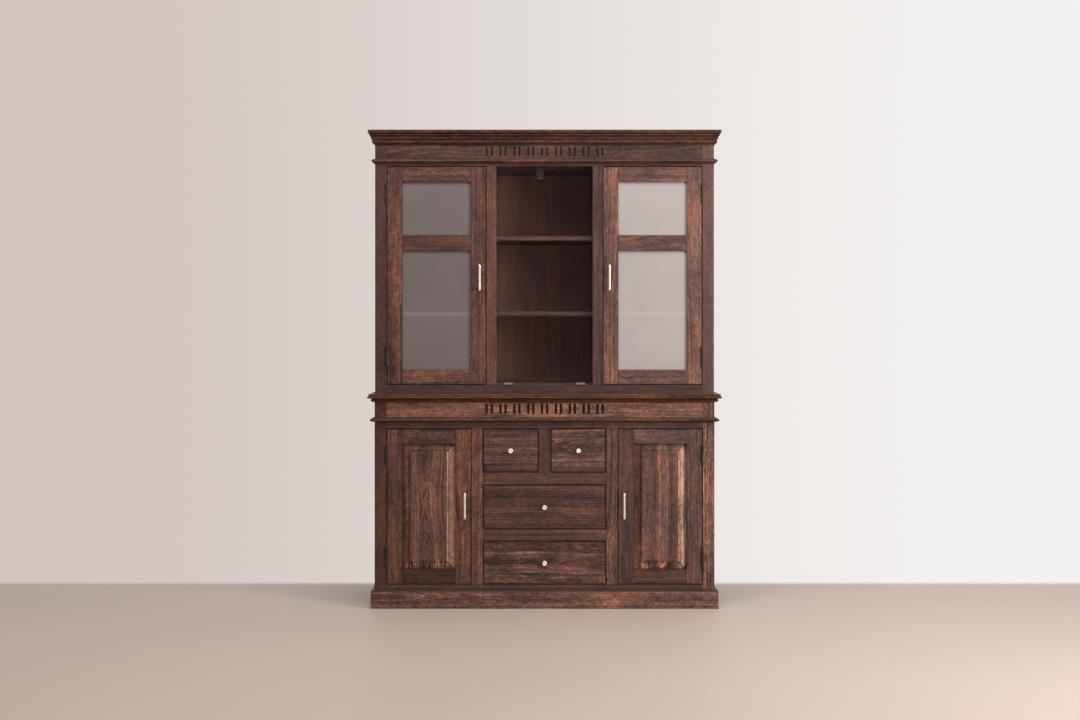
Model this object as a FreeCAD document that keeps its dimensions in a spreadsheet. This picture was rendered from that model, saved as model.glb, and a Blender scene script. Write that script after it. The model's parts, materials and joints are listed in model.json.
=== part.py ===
import FreeCAD, Part
import math
import os
import types

import Sketcher

# A two-part china cabinet in dark wood: a base with two panelled doors and four drawers, and a hutch
# with two glazed doors beside an open-shelved centre bay behind a drop-down glass flap.
# Millimetres. X runs across the front, +Y runs back towards the wall, +Z is up.
# The origin is on the floor, under the middle of the cabinet's outer box.

DIMENSIONS = [
    ("full_height", 2000, "floor to the top of the cornice"),
    ("full_width", 1480, "across the waist board"),
    ("full_depth", 450, "front edge of the waist board to the back"),
    ("base_width", 1422, "across the base's corner posts"),
    ("hutch_width", 1420, "across the hutch's corner posts"),
    ("base_setback", 29, "waist board's front edge to the base's face"),
    ("hutch_setback", 37, "waist board's front edge to the hutch's face"),
    ("plinth_height", 77, "floor to the plinth's top"),
    ("plinth_proud", 15, "plinth's face in front of the base's face"),
    ("base_post_width", 49, "base corner post, across"),
    ("hutch_post_width", 48, "hutch corner post, across"),
    ("post_depth", 45, "corner post, front to back"),
    ("frame_thickness", 22, "face frame, doors and drawer fronts"),
    ("board_thickness", 18, "partitions, floors and shelves"),
    ("back_thickness", 12, "back panels"),
    ("side_panel_thickness", 8, "panels in the side frames"),
    ("side_panel_inset", 8, "side panel behind the side frame's face"),
    ("groove_depth", 8, "groove or rebate in a frame member"),
    ("tongue_play", 0.5, "end play of a panel in its groove"),
    ("base_opening_bottom", 98.5, "bottom of the lower doors' opening"),
    ("base_opening_top", 752, "top of the lower doors' opening"),
    ("base_bead_bottom", 779.5, "underside of the base's bead"),
    ("base_bead_height", 17, "base bead, bottom to top"),
    ("waist_bottom", 862.5, "underside of the waist board"),
    ("waist_thickness", 32.5, "waist board"),
    ("hutch_opening_bottom", 934, "bottom of the hutch's openings"),
    ("hutch_opening_top", 1850, "top of the hutch's openings"),
    ("hutch_bead_bottom", 1862, "underside of the hutch's bead"),
    ("hutch_bead_height", 18.5, "hutch bead, bottom to top"),
    ("cornice_bottom", 1942, "underside of the cornice"),
    ("drawer_column_width", 516, "opening of the wide drawers"),
    ("base_stile_width", 48, "face stile between drawers and door"),
    ("muntin_width", 50, "short stile between the small drawers"),
    ("small_drawer_bottom", 567, "bottom of the small drawers' openings"),
    ("middle_drawer_top", 517, "top of the middle drawer's opening"),
    ("middle_drawer_bottom", 329, "bottom of the middle drawer's opening"),
    ("bottom_drawer_top", 281.5, "top of the bottom drawer's opening"),
    ("bay_width", 404, "centre bay's opening"),
    ("hutch_stile_width", 41, "face stile between bay and glass door"),
    ("partition_shadow", 3, "hutch partition behind the edge of its stile"),
    ("runner_shadow", 4, "base partition behind the edge of its stile"),
    ("lower_shelf_top", 1241.5, "top of the hutch's lower shelves"),
    ("upper_shelf_top", 1557.8, "top of the hutch's upper shelves"),
    ("base_shelf_top", 424, "top of the base's shelves"),
    ("shelf_setback", 28, "shelf's front edge behind the face"),
    ("shelf_play", 0.5, "shelf's end clear of the board beside it"),
    ("door_gap", 3, "gap round doors and drawer fronts"),
    ("hinge_gap", 3, "gap on a door's hinge side"),
    ("glass_stile_width", 63, "glass door's stiles and top rail"),
    ("glass_bottom_rail", 60, "glass door's bottom rail"),
    ("glass_middle_rail", 66, "glass door's middle rail"),
    ("glass_middle_rail_bottom", 1495, "underside of that middle rail"),
    ("pane_thickness", 4, "frosted pane"),
    ("pane_setback", 8, "pane behind the door's face"),
    ("panel_stile_width", 64, "panelled door's stiles"),
    ("panel_rail_width", 62, "panelled door's rails"),
    ("panel_bevel", 35, "raised panel's bevel, across"),
    ("field_setback", 1.5, "raised field behind the door's face"),
    ("field_step", 2, "step down round the raised field"),
    ("tongue_setback", 13, "panel's tongue behind the door's face"),
    ("tongue_thickness", 8, "panel's tongue"),
    ("pin_radius", 2, "hinge pin"),
    ("pin_clearance", 0.05, "running fit of a pin, on the radius"),
    ("barrel_radius", 4.2, "hinge barrel"),
    ("barrel_proud", 4.5, "hinge axis in front of the face"),
    ("hinge_length", 80, "butt hinge, along its pin"),
    ("leaf_thickness", 1.3, "hinge leaf"),
    ("leaf_width", 19, "hinge leaf, front to back"),
    ("pull_length", 109, "bar pull"),
    ("pull_width", 8, "bar pull, across"),
    ("pull_thickness", 7, "bar pull, front to back"),
    ("pull_proud", 28, "bar pull's face in front of the door"),
    ("pull_centres", 88, "between the pull's legs"),
    ("glass_pull_place", 271.5, "glass door's pull from the centre line"),
    ("glass_pull_height", 1382.5, "middle of the glass door's pull"),
    ("panel_pull_place", 333, "panelled door's pull from the centre line"),
    ("panel_pull_height", 429, "middle of the panelled door's pull"),
    ("knob_radius", 10, "drawer knob"),
    ("knob_proud", 26, "drawer knob's length"),
    ("drawer_side_thickness", 12, "drawer sides and backs"),
    ("drawer_bottom_thickness", 6, "drawer bottoms"),
    ("drawer_box_depth", 354, "drawer box behind its front"),
    ("runner_width", 24, "drawer runner"),
    ("runner_height", 14, "drawer runner"),
    ("glass_flap_thickness", 5, "clear glass flap"),
    ("flap_setback", 2, "flap behind the hutch's face"),
    ("flap_gap", 3, "flap clear of the bay's frame"),
    ("flap_axis_proud", 3.5, "flap's pivot in front of the face"),
    ("flap_axis_rise", 2.5, "flap's pivot above the bay's sill"),
    ("clamp_width", 33, "flap clamp, across"),
    ("clamp_place", 151, "flap clamp's middle from the centre line"),
    ("slot_pitch", 58, "between pairs of frieze slots"),
    ("slot_spread", 21.4, "between the two slots of a pair"),
    ("slot_depth", 7, "frieze slot, blind"),
]


class Size:
    """A length: its number in millimetres, and the formula on the sheet that gives it."""

    def __init__(self, number, formula=None):
        self.number = float(number)
        self.formula = formula or f"({self.number!r})"

    def __add__(self, other):
        other = size_of(other)
        return Size(self.number + other.number, f"({self.formula} + {other.formula})")

    def __sub__(self, other):
        other = size_of(other)
        return Size(self.number - other.number, f"({self.formula} - {other.formula})")

    def __mul__(self, factor):
        return Size(self.number * factor, f"({self.formula} * {size_of(factor).formula})")

    def __truediv__(self, divisor):
        return self * (1 / divisor)

    def __neg__(self):
        return self * -1

    def __radd__(self, other):
        return size_of(other) + self

    def __rsub__(self, other):
        return size_of(other) - self


def size_of(value):
    return value if isinstance(value, Size) else Size(value)


def make_sheet():
    """Write the driving dimensions to the sheet and give each back by its name."""
    sheet = DOC.addObject("Spreadsheet::Sheet", "Sizes")
    sizes = {}
    for row, (alias, number, meaning) in enumerate(DIMENSIONS, start=1):
        sheet.set(f"A{row}", meaning)
        sheet.set(f"B{row}", str(number))
        sheet.setAlias(f"B{row}", alias)
        sizes[alias] = Size(number, f"Sizes.{alias}")
    DOC.recompute()
    return types.SimpleNamespace(**sizes)


DOC = FreeCAD.newDocument("china_cabinet")
D = make_sheet()
NODES = []
SIDES = (("left", -1), ("right", 1))

# Planes and edges that many pieces share.
FRONT = -D.full_depth / 2
REAR = D.full_depth / 2
BACK_FRONT = REAR - D.back_thickness
BASE_FACE = FRONT + D.base_setback
HUTCH_FACE = FRONT + D.hutch_setback
BASE_HALF = D.base_width / 2
HUTCH_HALF = D.hutch_width / 2
BASE_POST_EDGE = BASE_HALF - D.base_post_width
HUTCH_POST_EDGE = HUTCH_HALF - D.hutch_post_width
DRAWER_HALF = D.drawer_column_width / 2
BASE_DOOR_EDGE = DRAWER_HALF + D.base_stile_width
BAY_HALF = D.bay_width / 2
GLASS_DOOR_EDGE = BAY_HALF + D.hutch_stile_width
BASE_PARTITION = DRAWER_HALF + D.runner_shadow
HUTCH_PARTITION = BAY_HALF + D.partition_shadow
WAIST_TOP = D.waist_bottom + D.waist_thickness
BASE_FRIEZE_BOTTOM = D.base_bead_bottom + D.base_bead_height
HUTCH_FRIEZE_BOTTOM = D.hutch_bead_bottom + D.hutch_bead_height


# ---- pieces of every kind ----

def mirrored(side, inner, outer):
    """The span from inner to outer, measured from the centre line to one side (-1 or 1)."""
    if side > 0:
        return inner, outer
    return -size_of(outer), -size_of(inner)


def board(label, across, deep, high):
    """A plain board that fills its spans along X, Y and Z."""
    box = DOC.addObject("Part::Box", label)
    for side, axis, (low, top) in zip(("Length", "Width", "Height"), "xyz", (across, deep, high)):
        box.setExpression(side, (size_of(top) - low).formula)
        box.setExpression(f"Placement.Base.{axis}", size_of(low).formula)
    return box


def rod(label, radius, centre, length, turn=(0, 0, 0)):
    """A round rod from centre along +Z, or along another axis after a yaw, pitch and roll."""
    cylinder = DOC.addObject("Part::Cylinder", label)
    cylinder.setExpression("Radius", size_of(radius).formula)
    cylinder.setExpression("Height", size_of(length).formula)
    cylinder.Placement = FreeCAD.Placement(FreeCAD.Vector(), FreeCAD.Rotation(*turn))
    place(cylinder, centre)
    return cylinder


ALONG_X = (0, 90, 0)
ALONG_Y = (0, 0, -90)


def place(piece, centre):
    for axis, value in zip("xyz", centre):
        piece.setExpression(f"Placement.Base.{axis}", size_of(value).formula)


def cut(label, base, tool):
    result = DOC.addObject("Part::Cut", label)
    result.Base = base
    result.Tool = tool
    return result


def common(label, base, tool):
    result = DOC.addObject("Part::Common", label)
    result.Base = base
    result.Tool = tool
    return result


def fused(label, pieces):
    result = DOC.addObject("Part::MultiFuse", label)
    result.Shapes = pieces
    return result


def group(label, pieces):
    result = DOC.addObject("Part::Compound", label)
    result.Links = pieces
    return result


def node(label, *pieces):
    """Make a named sub-part of one piece, or of several that stay separate solids."""
    if len(pieces) == 1:
        result = pieces[0]
    else:
        result = group(label, list(pieces))
    result.Label = label
    NODES.append(result)
    return result


# ---- sketched pieces ----

def outline(body, plane, points):
    """A closed sketch through points, anticlockwise. A point's third value, if any, is the radius of
    the arc that arrives at it: positive for one that bulges outwards, negative for a hollow."""
    sketch = body.newObject("Sketcher::SketchObject", body.Name + "_outline")
    origin_plane = next(item for item in body.Origin.OriginFeatures if item.Role == plane)
    sketch.AttachmentSupport = [(origin_plane, "")]
    sketch.MapMode = "FlatFace"
    corners = [FreeCAD.Vector(size_of(point[0]).number, size_of(point[1]).number, 0) for point in points]
    ends = []
    for index, point in enumerate(points):
        radius = point[2] if len(point) > 2 else 0
        ends.append(add_edge(sketch, corners[index - 1], corners[index], radius))
    for index, point in enumerate(points):
        edge, start, end = ends[index]
        following, next_start, _ = ends[(index + 1) % len(points)]
        sketch.addConstraint(Sketcher.Constraint("Coincident", edge, end, following, next_start))
        for kind, value in (("DistanceX", point[0]), ("DistanceY", point[1])):
            size = size_of(value)
            number = sketch.addConstraint(Sketcher.Constraint(kind, -1, 1, edge, end, size.number))
            sketch.setExpression(f"Constraints[{number}]", size.formula)
    return sketch


def add_edge(sketch, start, end, radius):
    """Add a line, or an arc of the signed radius. Returns its index and its start and end points."""
    if not radius:
        return sketch.addGeometry(Part.LineSegment(start, end), False), 1, 2
    chord = end - start
    rise = math.sqrt(radius ** 2 - (chord.Length / 2) ** 2)
    leftwards = FreeCAD.Vector(-chord.y, chord.x, 0).normalize()
    centre = (start + end) / 2 + leftwards * math.copysign(rise, radius)
    first, last = (start, end) if radius > 0 else (end, start)
    circle = Part.Circle(centre, FreeCAD.Vector(0, 0, 1), abs(radius))
    angles = [math.atan2(point.y - centre.y, point.x - centre.x) for point in (first, last)]
    edge = sketch.addGeometry(Part.ArcOfCircle(circle, *angles), False)
    sketch.addConstraint(Sketcher.Constraint("Radius", edge, abs(radius)))
    return (edge, 1, 2) if radius > 0 else (edge, 2, 1)


def prism(label, plane, points, length):
    """A body padded from an outline by half the length each way."""
    body = DOC.addObject("PartDesign::Body", label)
    pad = body.newObject("PartDesign::Pad", label + "_pad")
    pad.Profile = outline(body, plane, points)
    pad.setExpression("Length", size_of(length).formula)
    pad.SideType = "Symmetric"
    return body


def downwards(profile, place_of):
    """A profile listed from bottom to top, turned into an outline's points from top to bottom."""
    points = []
    for index in range(len(profile) - 1, -1, -1):
        above = profile[index + 1] if index + 1 < len(profile) else ()
        points.append((*place_of(profile[index]), above[2] if len(above) > 2 else 0))
    return points


def moulded_slab(label, profile, bottom, half_width, face):
    """A slab with one moulded profile on its front and both ends, mitred at the corners.
    The profile's points are (distance out from the face, height above the bottom, arc radius)."""
    right = [(half_width + point[0], bottom + point[1], *point[2:]) for point in profile]
    left = downwards(profile, lambda point: (-(half_width + point[0]), bottom + point[1]))
    front = downwards(profile, lambda point: (face - point[0], bottom + point[1]))
    rear = [(REAR, bottom), (REAR, bottom + profile[-1][1])]
    lengthwise = prism(label + "_ends", "XZ_Plane", right + left, D.full_depth * 1.5)
    crosswise = prism(label + "_front", "YZ_Plane", rear + front, D.full_width * 1.5)
    return common(label + "_slab", lengthwise, crosswise)


def moulding(label, profile, bottom, half_width, face):
    """The front strip and the two side strips of a moulding that wraps a carcass. The front strip
    carries the returns, and the side strips butt against it."""
    slab = moulded_slab(label, profile, bottom, half_width, face)
    high = (bottom - 1, bottom + profile[-1][1] + 1)
    beyond = D.full_width
    behind = board(label + "_behind", (-beyond, beyond), (face, REAR + 1), high)
    strips = [cut(label + "_front_strip", slab, behind)]
    for name, side in SIDES:
        beside = board(f"{label}_beside_{name}", mirrored(side, half_width, beyond), (face, REAR + 1), high)
        strips.append(common(f"{label}_{name}_strip", slab, beside))
    return strips


# ---- the base's carcass ----

PLINTH_PROFILE = [(15, 0), (15, 70), (8, 77, 7)]
BASE_BEAD_PROFILE = [(4, 0), (12, 2.5, 14), (19.5, 8, 10), (12, 14, 10), (3, 17, 19)]
HUTCH_BEAD_PROFILE = [(3, 0), (10.5, 4, 10.5), (14.5, 9.5, 8), (9, 15.5, 8.5), (2, 18.5, 13)]
WAIST_PROFILE = [(9, 0), (9, 2.5), (13, 3.5), (15, 9.5, 5), (12.5, 10.5), (12.5, 14), (22, 15),
                 (29, 20.5, 7.5), (25, 24, 5), (21.5, 24.6), (21.5, 26.4), (24, 27), (23, 32.5, 3.6)]
CORNICE_PROFILE = [(0, 0), (3, 0), (12, 8, 9.5), (12, 15.5), (9.5, 16.5), (9.5, 20), (14.5, 20.5),
                   (17.5, 27, 7), (14, 28), (14, 32), (19.5, 32.5), (23, 39.5, 8), (19, 40.5),
                   (19, 44), (27, 44.5), (28, 46, 2), (28, 54), (24, 58, 5.5)]


def side_frame(label, half_width, post_width, face, foot, top, rails):
    """Corner posts and side rails of one carcass, grooved for flat side panels. rails is the pair of
    heights where the panel's opening starts and ends."""
    rail_out = half_width
    rail_in = half_width - D.frame_thickness
    front_post = (face, face + D.post_depth)
    rear_post = (REAR - D.post_depth, REAR)
    between = (front_post[1], rear_post[0])
    panel_low, panel_high = rails
    pieces = []
    panels = []
    for name, side in SIDES:
        panel_out = half_width - D.side_panel_inset
        panel = board(f"{label}_{name}_panel",
                      mirrored(side, panel_out - D.side_panel_thickness, panel_out),
                      (between[0] - D.groove_depth, between[1] + D.groove_depth),
                      (panel_low - D.groove_depth, panel_high + D.groove_depth))
        panels.append(panel)
        width = mirrored(side, half_width - post_width, half_width)
        rail_width = mirrored(side, rail_in, rail_out)
        members = {
            "front_post": (width, front_post, (foot, top)),
            "rear_post": (width, rear_post, (foot, top)),
            "bottom_rail": (rail_width, between, (max(foot, D.plinth_height, key=number_of), panel_low)),
            "top_rail": (rail_width, between, (panel_high, top)),
        }
        for member, spans in members.items():
            blank = board(f"{label}_{name}_{member}_blank", *spans)
            pieces.append(cut(f"{label}_{name}_{member}", blank, panel))
    return pieces, panels


def number_of(size):
    return size_of(size).number


def deck(label, half_width, front, high, posts):
    """A floor, ceiling or similar board that runs to the side frames and is notched round the posts."""
    inside = half_width - D.frame_thickness
    blank = board(label + "_blank", (-inside, inside), (front, BACK_FRONT), high)
    return cut(label, blank, posts)


def frieze(label, face, bottom, top, edge, slot_width, slot_low, slot_high):
    """A frieze board with nine pairs of blind slots cut in its face."""
    body = DOC.addObject("PartDesign::Body", label)
    pad = body.newObject("PartDesign::Pad", label + "_board")
    pad.Profile = outline(body, "XZ_Plane", [(-edge, bottom), (edge, bottom), (edge, top), (-edge, top)])
    pad.setExpression("Length", D.frame_thickness.formula)
    pad.Reversed = True
    pairs = 9
    pitch = D.slot_pitch
    first = -pitch * ((pairs - 1) / 2)
    slots = []
    for index, offset in enumerate((-D.slot_spread / 2, D.slot_spread / 2)):
        middle = first + offset
        points = [(middle - slot_width / 2, slot_low), (middle + slot_width / 2, slot_low),
                  (middle + slot_width / 2, slot_high), (middle - slot_width / 2, slot_high)]
        slot = body.newObject("PartDesign::Pocket", f"{label}_slot_{index}")
        slot.Profile = outline(body, "XZ_Plane", points)
        slot.setExpression("Length", D.slot_depth.formula)
        slots.append(slot)
    row = body.newObject("PartDesign::LinearPattern", label + "_slots")
    row.Originals = slots
    row.Direction = (slots[0].Profile[0], ["H_Axis"])
    row.setExpression("Length", (pitch * (pairs - 1)).formula)
    row.Occurrences = pairs
    body.Tip = row
    place(body, (0, face, 0))
    return body


def build_base_carcass():
    inside = BASE_FACE + D.frame_thickness
    face = (BASE_FACE, inside)
    opening = (D.base_opening_bottom, D.base_opening_top)
    frame, panels = side_frame("base", BASE_HALF, D.base_post_width, BASE_FACE, 0, D.waist_bottom,
                               (D.plinth_height + 73, D.base_opening_top))
    node("base_side_frames", *frame)
    node("plinth", *moulding("plinth", PLINTH_PROFILE, size_of(0), BASE_HALF, BASE_FACE))
    floor = (D.base_opening_bottom - D.board_thickness, D.base_opening_bottom)
    node("base_floor", deck("base_floor", BASE_HALF, inside, floor, group("base_frame_tool", frame)))
    edge = BASE_POST_EDGE
    node("base_back", board("base_back", (-edge, edge), (BACK_FRONT, REAR),
                            (D.plinth_height, D.waist_bottom)))
    rails = [("bottom", edge, D.plinth_height, D.base_opening_bottom),
             ("top", edge, D.base_opening_top, BASE_FRIEZE_BOTTOM),
             ("upper_drawer", DRAWER_HALF, D.middle_drawer_top, D.small_drawer_bottom),
             ("lower_drawer", DRAWER_HALF, D.bottom_drawer_top, D.middle_drawer_bottom)]
    node("base_face_rails", *(board(f"base_rail_{name}", (-half, half), face, (low, top))
                              for name, half, low, top in rails))
    stiles = [board(f"base_stile_{name}", mirrored(side, DRAWER_HALF, BASE_DOOR_EDGE), face, opening)
              for name, side in SIDES]
    half_muntin = D.muntin_width / 2
    stiles.append(board("base_muntin", (-half_muntin, half_muntin), face,
                        (D.small_drawer_bottom, D.base_opening_top)))
    node("base_face_stiles", *stiles)
    deep = (inside, BACK_FRONT)
    outer = BASE_PARTITION + D.board_thickness
    partitions = [board(f"base_partition_{name}", mirrored(side, BASE_PARTITION, outer), deep,
                        (D.base_opening_bottom, D.waist_bottom)) for name, side in SIDES]
    half_divider = D.board_thickness / 2
    partitions.append(board("drawer_divider", (-half_divider, half_divider), deep,
                            (D.middle_drawer_top + 10, D.waist_bottom)))
    node("base_partitions", *partitions)
    node("base_frieze", frieze("base_frieze", BASE_FACE, BASE_FRIEZE_BOTTOM, D.waist_bottom, edge,
                               10, BASE_FRIEZE_BOTTOM + 16, BASE_FRIEZE_BOTTOM + 58))
    node("waist_board", moulded_slab("waist", WAIST_PROFILE, D.waist_bottom, BASE_HALF, BASE_FACE))
    return frame, panels, outer


# ---- the hutch's carcass ----

def build_hutch_carcass():
    inside = HUTCH_FACE + D.frame_thickness
    face = (HUTCH_FACE, inside)
    edge = HUTCH_POST_EDGE
    frame, panels = side_frame("hutch", HUTCH_HALF, D.hutch_post_width, HUTCH_FACE, WAIST_TOP,
                               D.cornice_bottom, (WAIST_TOP + 65, D.hutch_opening_top - 5))
    node("hutch_side_frames", *frame)
    tool = group("hutch_frame_tool", frame)
    floor = (D.hutch_opening_bottom - D.board_thickness, D.hutch_opening_bottom)
    ceiling = (D.hutch_opening_top, D.hutch_opening_top + D.board_thickness)
    node("hutch_floor_and_ceiling",
         deck("hutch_floor", HUTCH_HALF, inside, floor, tool),
         deck("hutch_ceiling", HUTCH_HALF, inside, ceiling, tool))
    node("hutch_back", board("hutch_back", (-edge, edge), (BACK_FRONT, REAR),
                             (WAIST_TOP, D.cornice_bottom)))
    node("hutch_face_rails",
         board("hutch_rail_bottom", (-edge, edge), face, (WAIST_TOP, D.hutch_opening_bottom)),
         board("hutch_rail_top", (-edge, edge), face, (D.hutch_opening_top, HUTCH_FRIEZE_BOTTOM)))
    high = (D.hutch_opening_bottom, D.hutch_opening_top)
    node("hutch_face_stiles", *(board(f"hutch_stile_{name}", mirrored(side, BAY_HALF, GLASS_DOOR_EDGE),
                                      face, high) for name, side in SIDES))
    outer = HUTCH_PARTITION + D.board_thickness
    node("hutch_partitions", *(board(f"hutch_partition_{name}", mirrored(side, HUTCH_PARTITION, outer),
                                     (inside, BACK_FRONT), high) for name, side in SIDES))
    node("hutch_frieze", frieze("hutch_frieze", HUTCH_FACE, HUTCH_FRIEZE_BOTTOM, D.cornice_bottom, edge,
                                7, HUTCH_FRIEZE_BOTTOM + 11, HUTCH_FRIEZE_BOTTOM + 49))
    node("cornice", *moulding("cornice", CORNICE_PROFILE, D.cornice_bottom, HUTCH_HALF, HUTCH_FACE))
    build_top_board()
    return frame, panels, tool, outer


def build_top_board():
    """The top board and the four battens that hold it up inside the cornice."""
    under = D.full_height - D.board_thickness
    batten = D.frame_thickness
    high = (D.cornice_bottom, under)
    across = (-HUTCH_HALF, HUTCH_HALF)
    between = (HUTCH_FACE + batten, REAR - batten)
    pieces = [board("top", across, (HUTCH_FACE, REAR), (under, D.full_height)),
              board("front_batten", across, (HUTCH_FACE, HUTCH_FACE + batten), high),
              board("rear_batten", across, (REAR - batten, REAR), high)]
    for name, side in SIDES:
        pieces.append(board(f"{name}_batten", mirrored(side, HUTCH_HALF - batten, HUTCH_HALF),
                            between, high))
    node("top_board", *pieces)


# ---- shelves and their pegs ----

PEG_RADIUS = 3
PEG_REACH = 9


def pegs(label, faces, rows, under):
    """Pegs under one shelf: two rows on each of two upright faces. faces is ((x, direction), ...),
    where the direction points from the face to the shelf's middle."""
    pieces = []
    for side, (place_x, direction) in enumerate(faces):
        start = place_x if direction > 0 else place_x - PEG_REACH
        for row, place_y in enumerate(rows):
            pieces.append(rod(f"{label}_peg_{side}_{row}", PEG_RADIUS,
                              (start, place_y, under - PEG_RADIUS), PEG_REACH, ALONG_X))
    return pieces


def bay_shelf(label, inner, outer, side, front, top, posts):
    """A shelf in a side bay: from a partition to the side frame, notched round the corner posts."""
    blank = board(label + "_blank", mirrored(side, inner, outer), (front, BACK_FRONT - D.shelf_play),
                  (top - D.board_thickness, top))
    return cut(label, blank, posts)


def build_shelves(base_partition, hutch_partition, base_tool, hutch_tool):
    base_shelves = []
    hutch_shelves = []
    all_pegs = []
    play = D.shelf_play
    base_front = BASE_FACE + D.shelf_setback
    hutch_front = HUTCH_FACE + D.shelf_setback
    for name, side in SIDES:
        label = f"base_shelf_{name}"
        base_shelves.append(bay_shelf(label, base_partition + play,
                                      BASE_HALF - D.frame_thickness - play, side, base_front,
                                      D.base_shelf_top, base_tool))
        faces = ((base_partition * side, side), (BASE_POST_EDGE * side, -side))
        under = D.base_shelf_top - D.board_thickness
        all_pegs += pegs(label, faces, (base_front + 10, REAR - 30), under)
    for level, top in (("lower", D.lower_shelf_top), ("upper", D.upper_shelf_top)):
        under = top - D.board_thickness
        rows = (hutch_front + 10, REAR - 30)
        label = f"centre_shelf_{level}"
        inner = HUTCH_PARTITION - play
        hutch_shelves.append(board(label, (-inner, inner), (hutch_front, BACK_FRONT - play),
                                   (under, top)))
        all_pegs += pegs(label, ((-HUTCH_PARTITION, 1), (HUTCH_PARTITION, -1)), rows, under)
        for name, side in SIDES:
            label = f"{name}_shelf_{level}"
            hutch_shelves.append(bay_shelf(label, hutch_partition + play,
                                           HUTCH_HALF - D.frame_thickness - play, side, hutch_front,
                                           top, hutch_tool))
            faces = ((hutch_partition * side, side), (HUTCH_POST_EDGE * side, -side))
            all_pegs += pegs(label, faces, rows, under)
    node("base_shelves", *base_shelves)
    node("hutch_shelves", *hutch_shelves)
    node("shelf_pegs", *all_pegs)


# ---- hinges ----

KNUCKLES = 5
KNUCKLE_PLAY = 0.2


def hinge_leaf(label, side, leaf_side, face, post_edge, middle, knuckles):
    """One leaf of a butt hinge in the gap between door and post, with its own knuckles.
    leaf_side is 1 for the leaf on the post and -1 for the one on the door."""
    axis_x = post_edge - D.hinge_gap / 2
    axis_y = face - D.barrel_proud
    near = D.hinge_gap / 2 - D.leaf_thickness
    far = D.hinge_gap / 2
    spread = (axis_x + near, axis_x + far) if leaf_side > 0 else (axis_x - far, axis_x - near)
    across = mirrored(side, *spread)
    low = middle - D.hinge_length / 2
    pitch = D.hinge_length / KNUCKLES
    pieces = [board(label + "_plate", across, (face, face + D.leaf_width), (low, low + D.hinge_length))]
    for index in knuckles:
        foot = low + pitch * index + KNUCKLE_PLAY / 2
        length = pitch - KNUCKLE_PLAY
        centre = (axis_x * side, axis_y, foot)
        pieces.append(rod(f"{label}_knuckle_{index}", D.barrel_radius, centre, length))
        pieces.append(board(f"{label}_tab_{index}", across, (axis_y, face), (foot, foot + length)))
    bore = rod(label + "_bore", D.pin_radius + D.pin_clearance, (axis_x * side, axis_y, low - 1),
               D.hinge_length + 2)
    return cut(label, fused(label + "_blank", pieces), bore)


def hinge_pin(label, side, face, post_edge, middle):
    """A hinge pin with a small button head at each end."""
    head = 1.6
    centre_x = (post_edge - D.hinge_gap / 2) * side
    centre_y = face - D.barrel_proud
    low = middle - D.hinge_length / 2 + KNUCKLE_PLAY / 2
    top = middle + D.hinge_length / 2 - KNUCKLE_PLAY / 2
    pieces = [rod(label + "_shank", D.pin_radius, (centre_x, centre_y, low - head), top - low + head * 2),
              rod(label + "_foot", 3.4, (centre_x, centre_y, low - head), head),
              rod(label + "_head", 3.4, (centre_x, centre_y, top), head)]
    return fused(label, pieces)


def build_hinges():
    """The butt hinges of the four doors: the doors' leaves, the posts' leaves and the pins."""
    doors = [("glass_door", HUTCH_FACE, HUTCH_POST_EDGE, (1054, 1734)),
             ("lower_door", BASE_FACE, BASE_POST_EDGE, (214, 638))]
    post_leaves = []
    pins = []
    for door, face, edge, heights in doors:
        for name, side in SIDES:
            door_leaves = []
            for index, middle in enumerate(heights):
                label = f"{door}_{name}_hinge_{index}"
                middle = size_of(middle)
                door_leaves.append(hinge_leaf(label + "_door", side, -1, face, edge, middle, (1, 3)))
                post_leaves.append(hinge_leaf(label + "_post", side, 1, face, edge, middle, (0, 2, 4)))
                pins.append(hinge_pin(label + "_pin", side, face, edge, middle))
            node(f"{door}_{name}_hinge_leaves", *door_leaves)
    node("hinge_post_leaves", *post_leaves)
    node("hinge_pins", *pins)


# ---- doors ----

def framed(label, members, openings, deep):
    """Frame members, each with the grooves or rebates that the openings' panels or panes need.
    members maps a name to its spans across and high; openings lists spans across and high."""
    grooves = [board(f"{label}_groove_{index}",
                     (across[0] - D.groove_depth, across[1] + D.groove_depth), groove_deep,
                     (high[0] - D.groove_depth, high[1] + D.groove_depth))
               for index, (across, high, groove_deep) in enumerate(openings)]
    tool = grooves[0] if len(grooves) == 1 else group(label + "_grooves", grooves)
    pieces = []
    for name, (across, high) in members.items():
        blank = board(f"{label}_{name}_blank", across, deep, high)
        pieces.append(cut(f"{label}_{name}", blank, tool))
    return pieces


def glazing_beads(label, across, high, deep):
    """Four beads that hold a pane in its rebate."""
    left, right = across
    low, top = high
    reach = D.groove_depth
    spans = {
        "left": ((left - reach, left), (low - reach, top + reach)),
        "right": ((right, right + reach), (low - reach, top + reach)),
        "bottom": ((left, right), (low - reach, low)),
        "top": ((left, right), (top, top + reach)),
    }
    return [board(f"{label}_bead_{name}", span, deep, height) for name, (span, height) in spans.items()]


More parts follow.
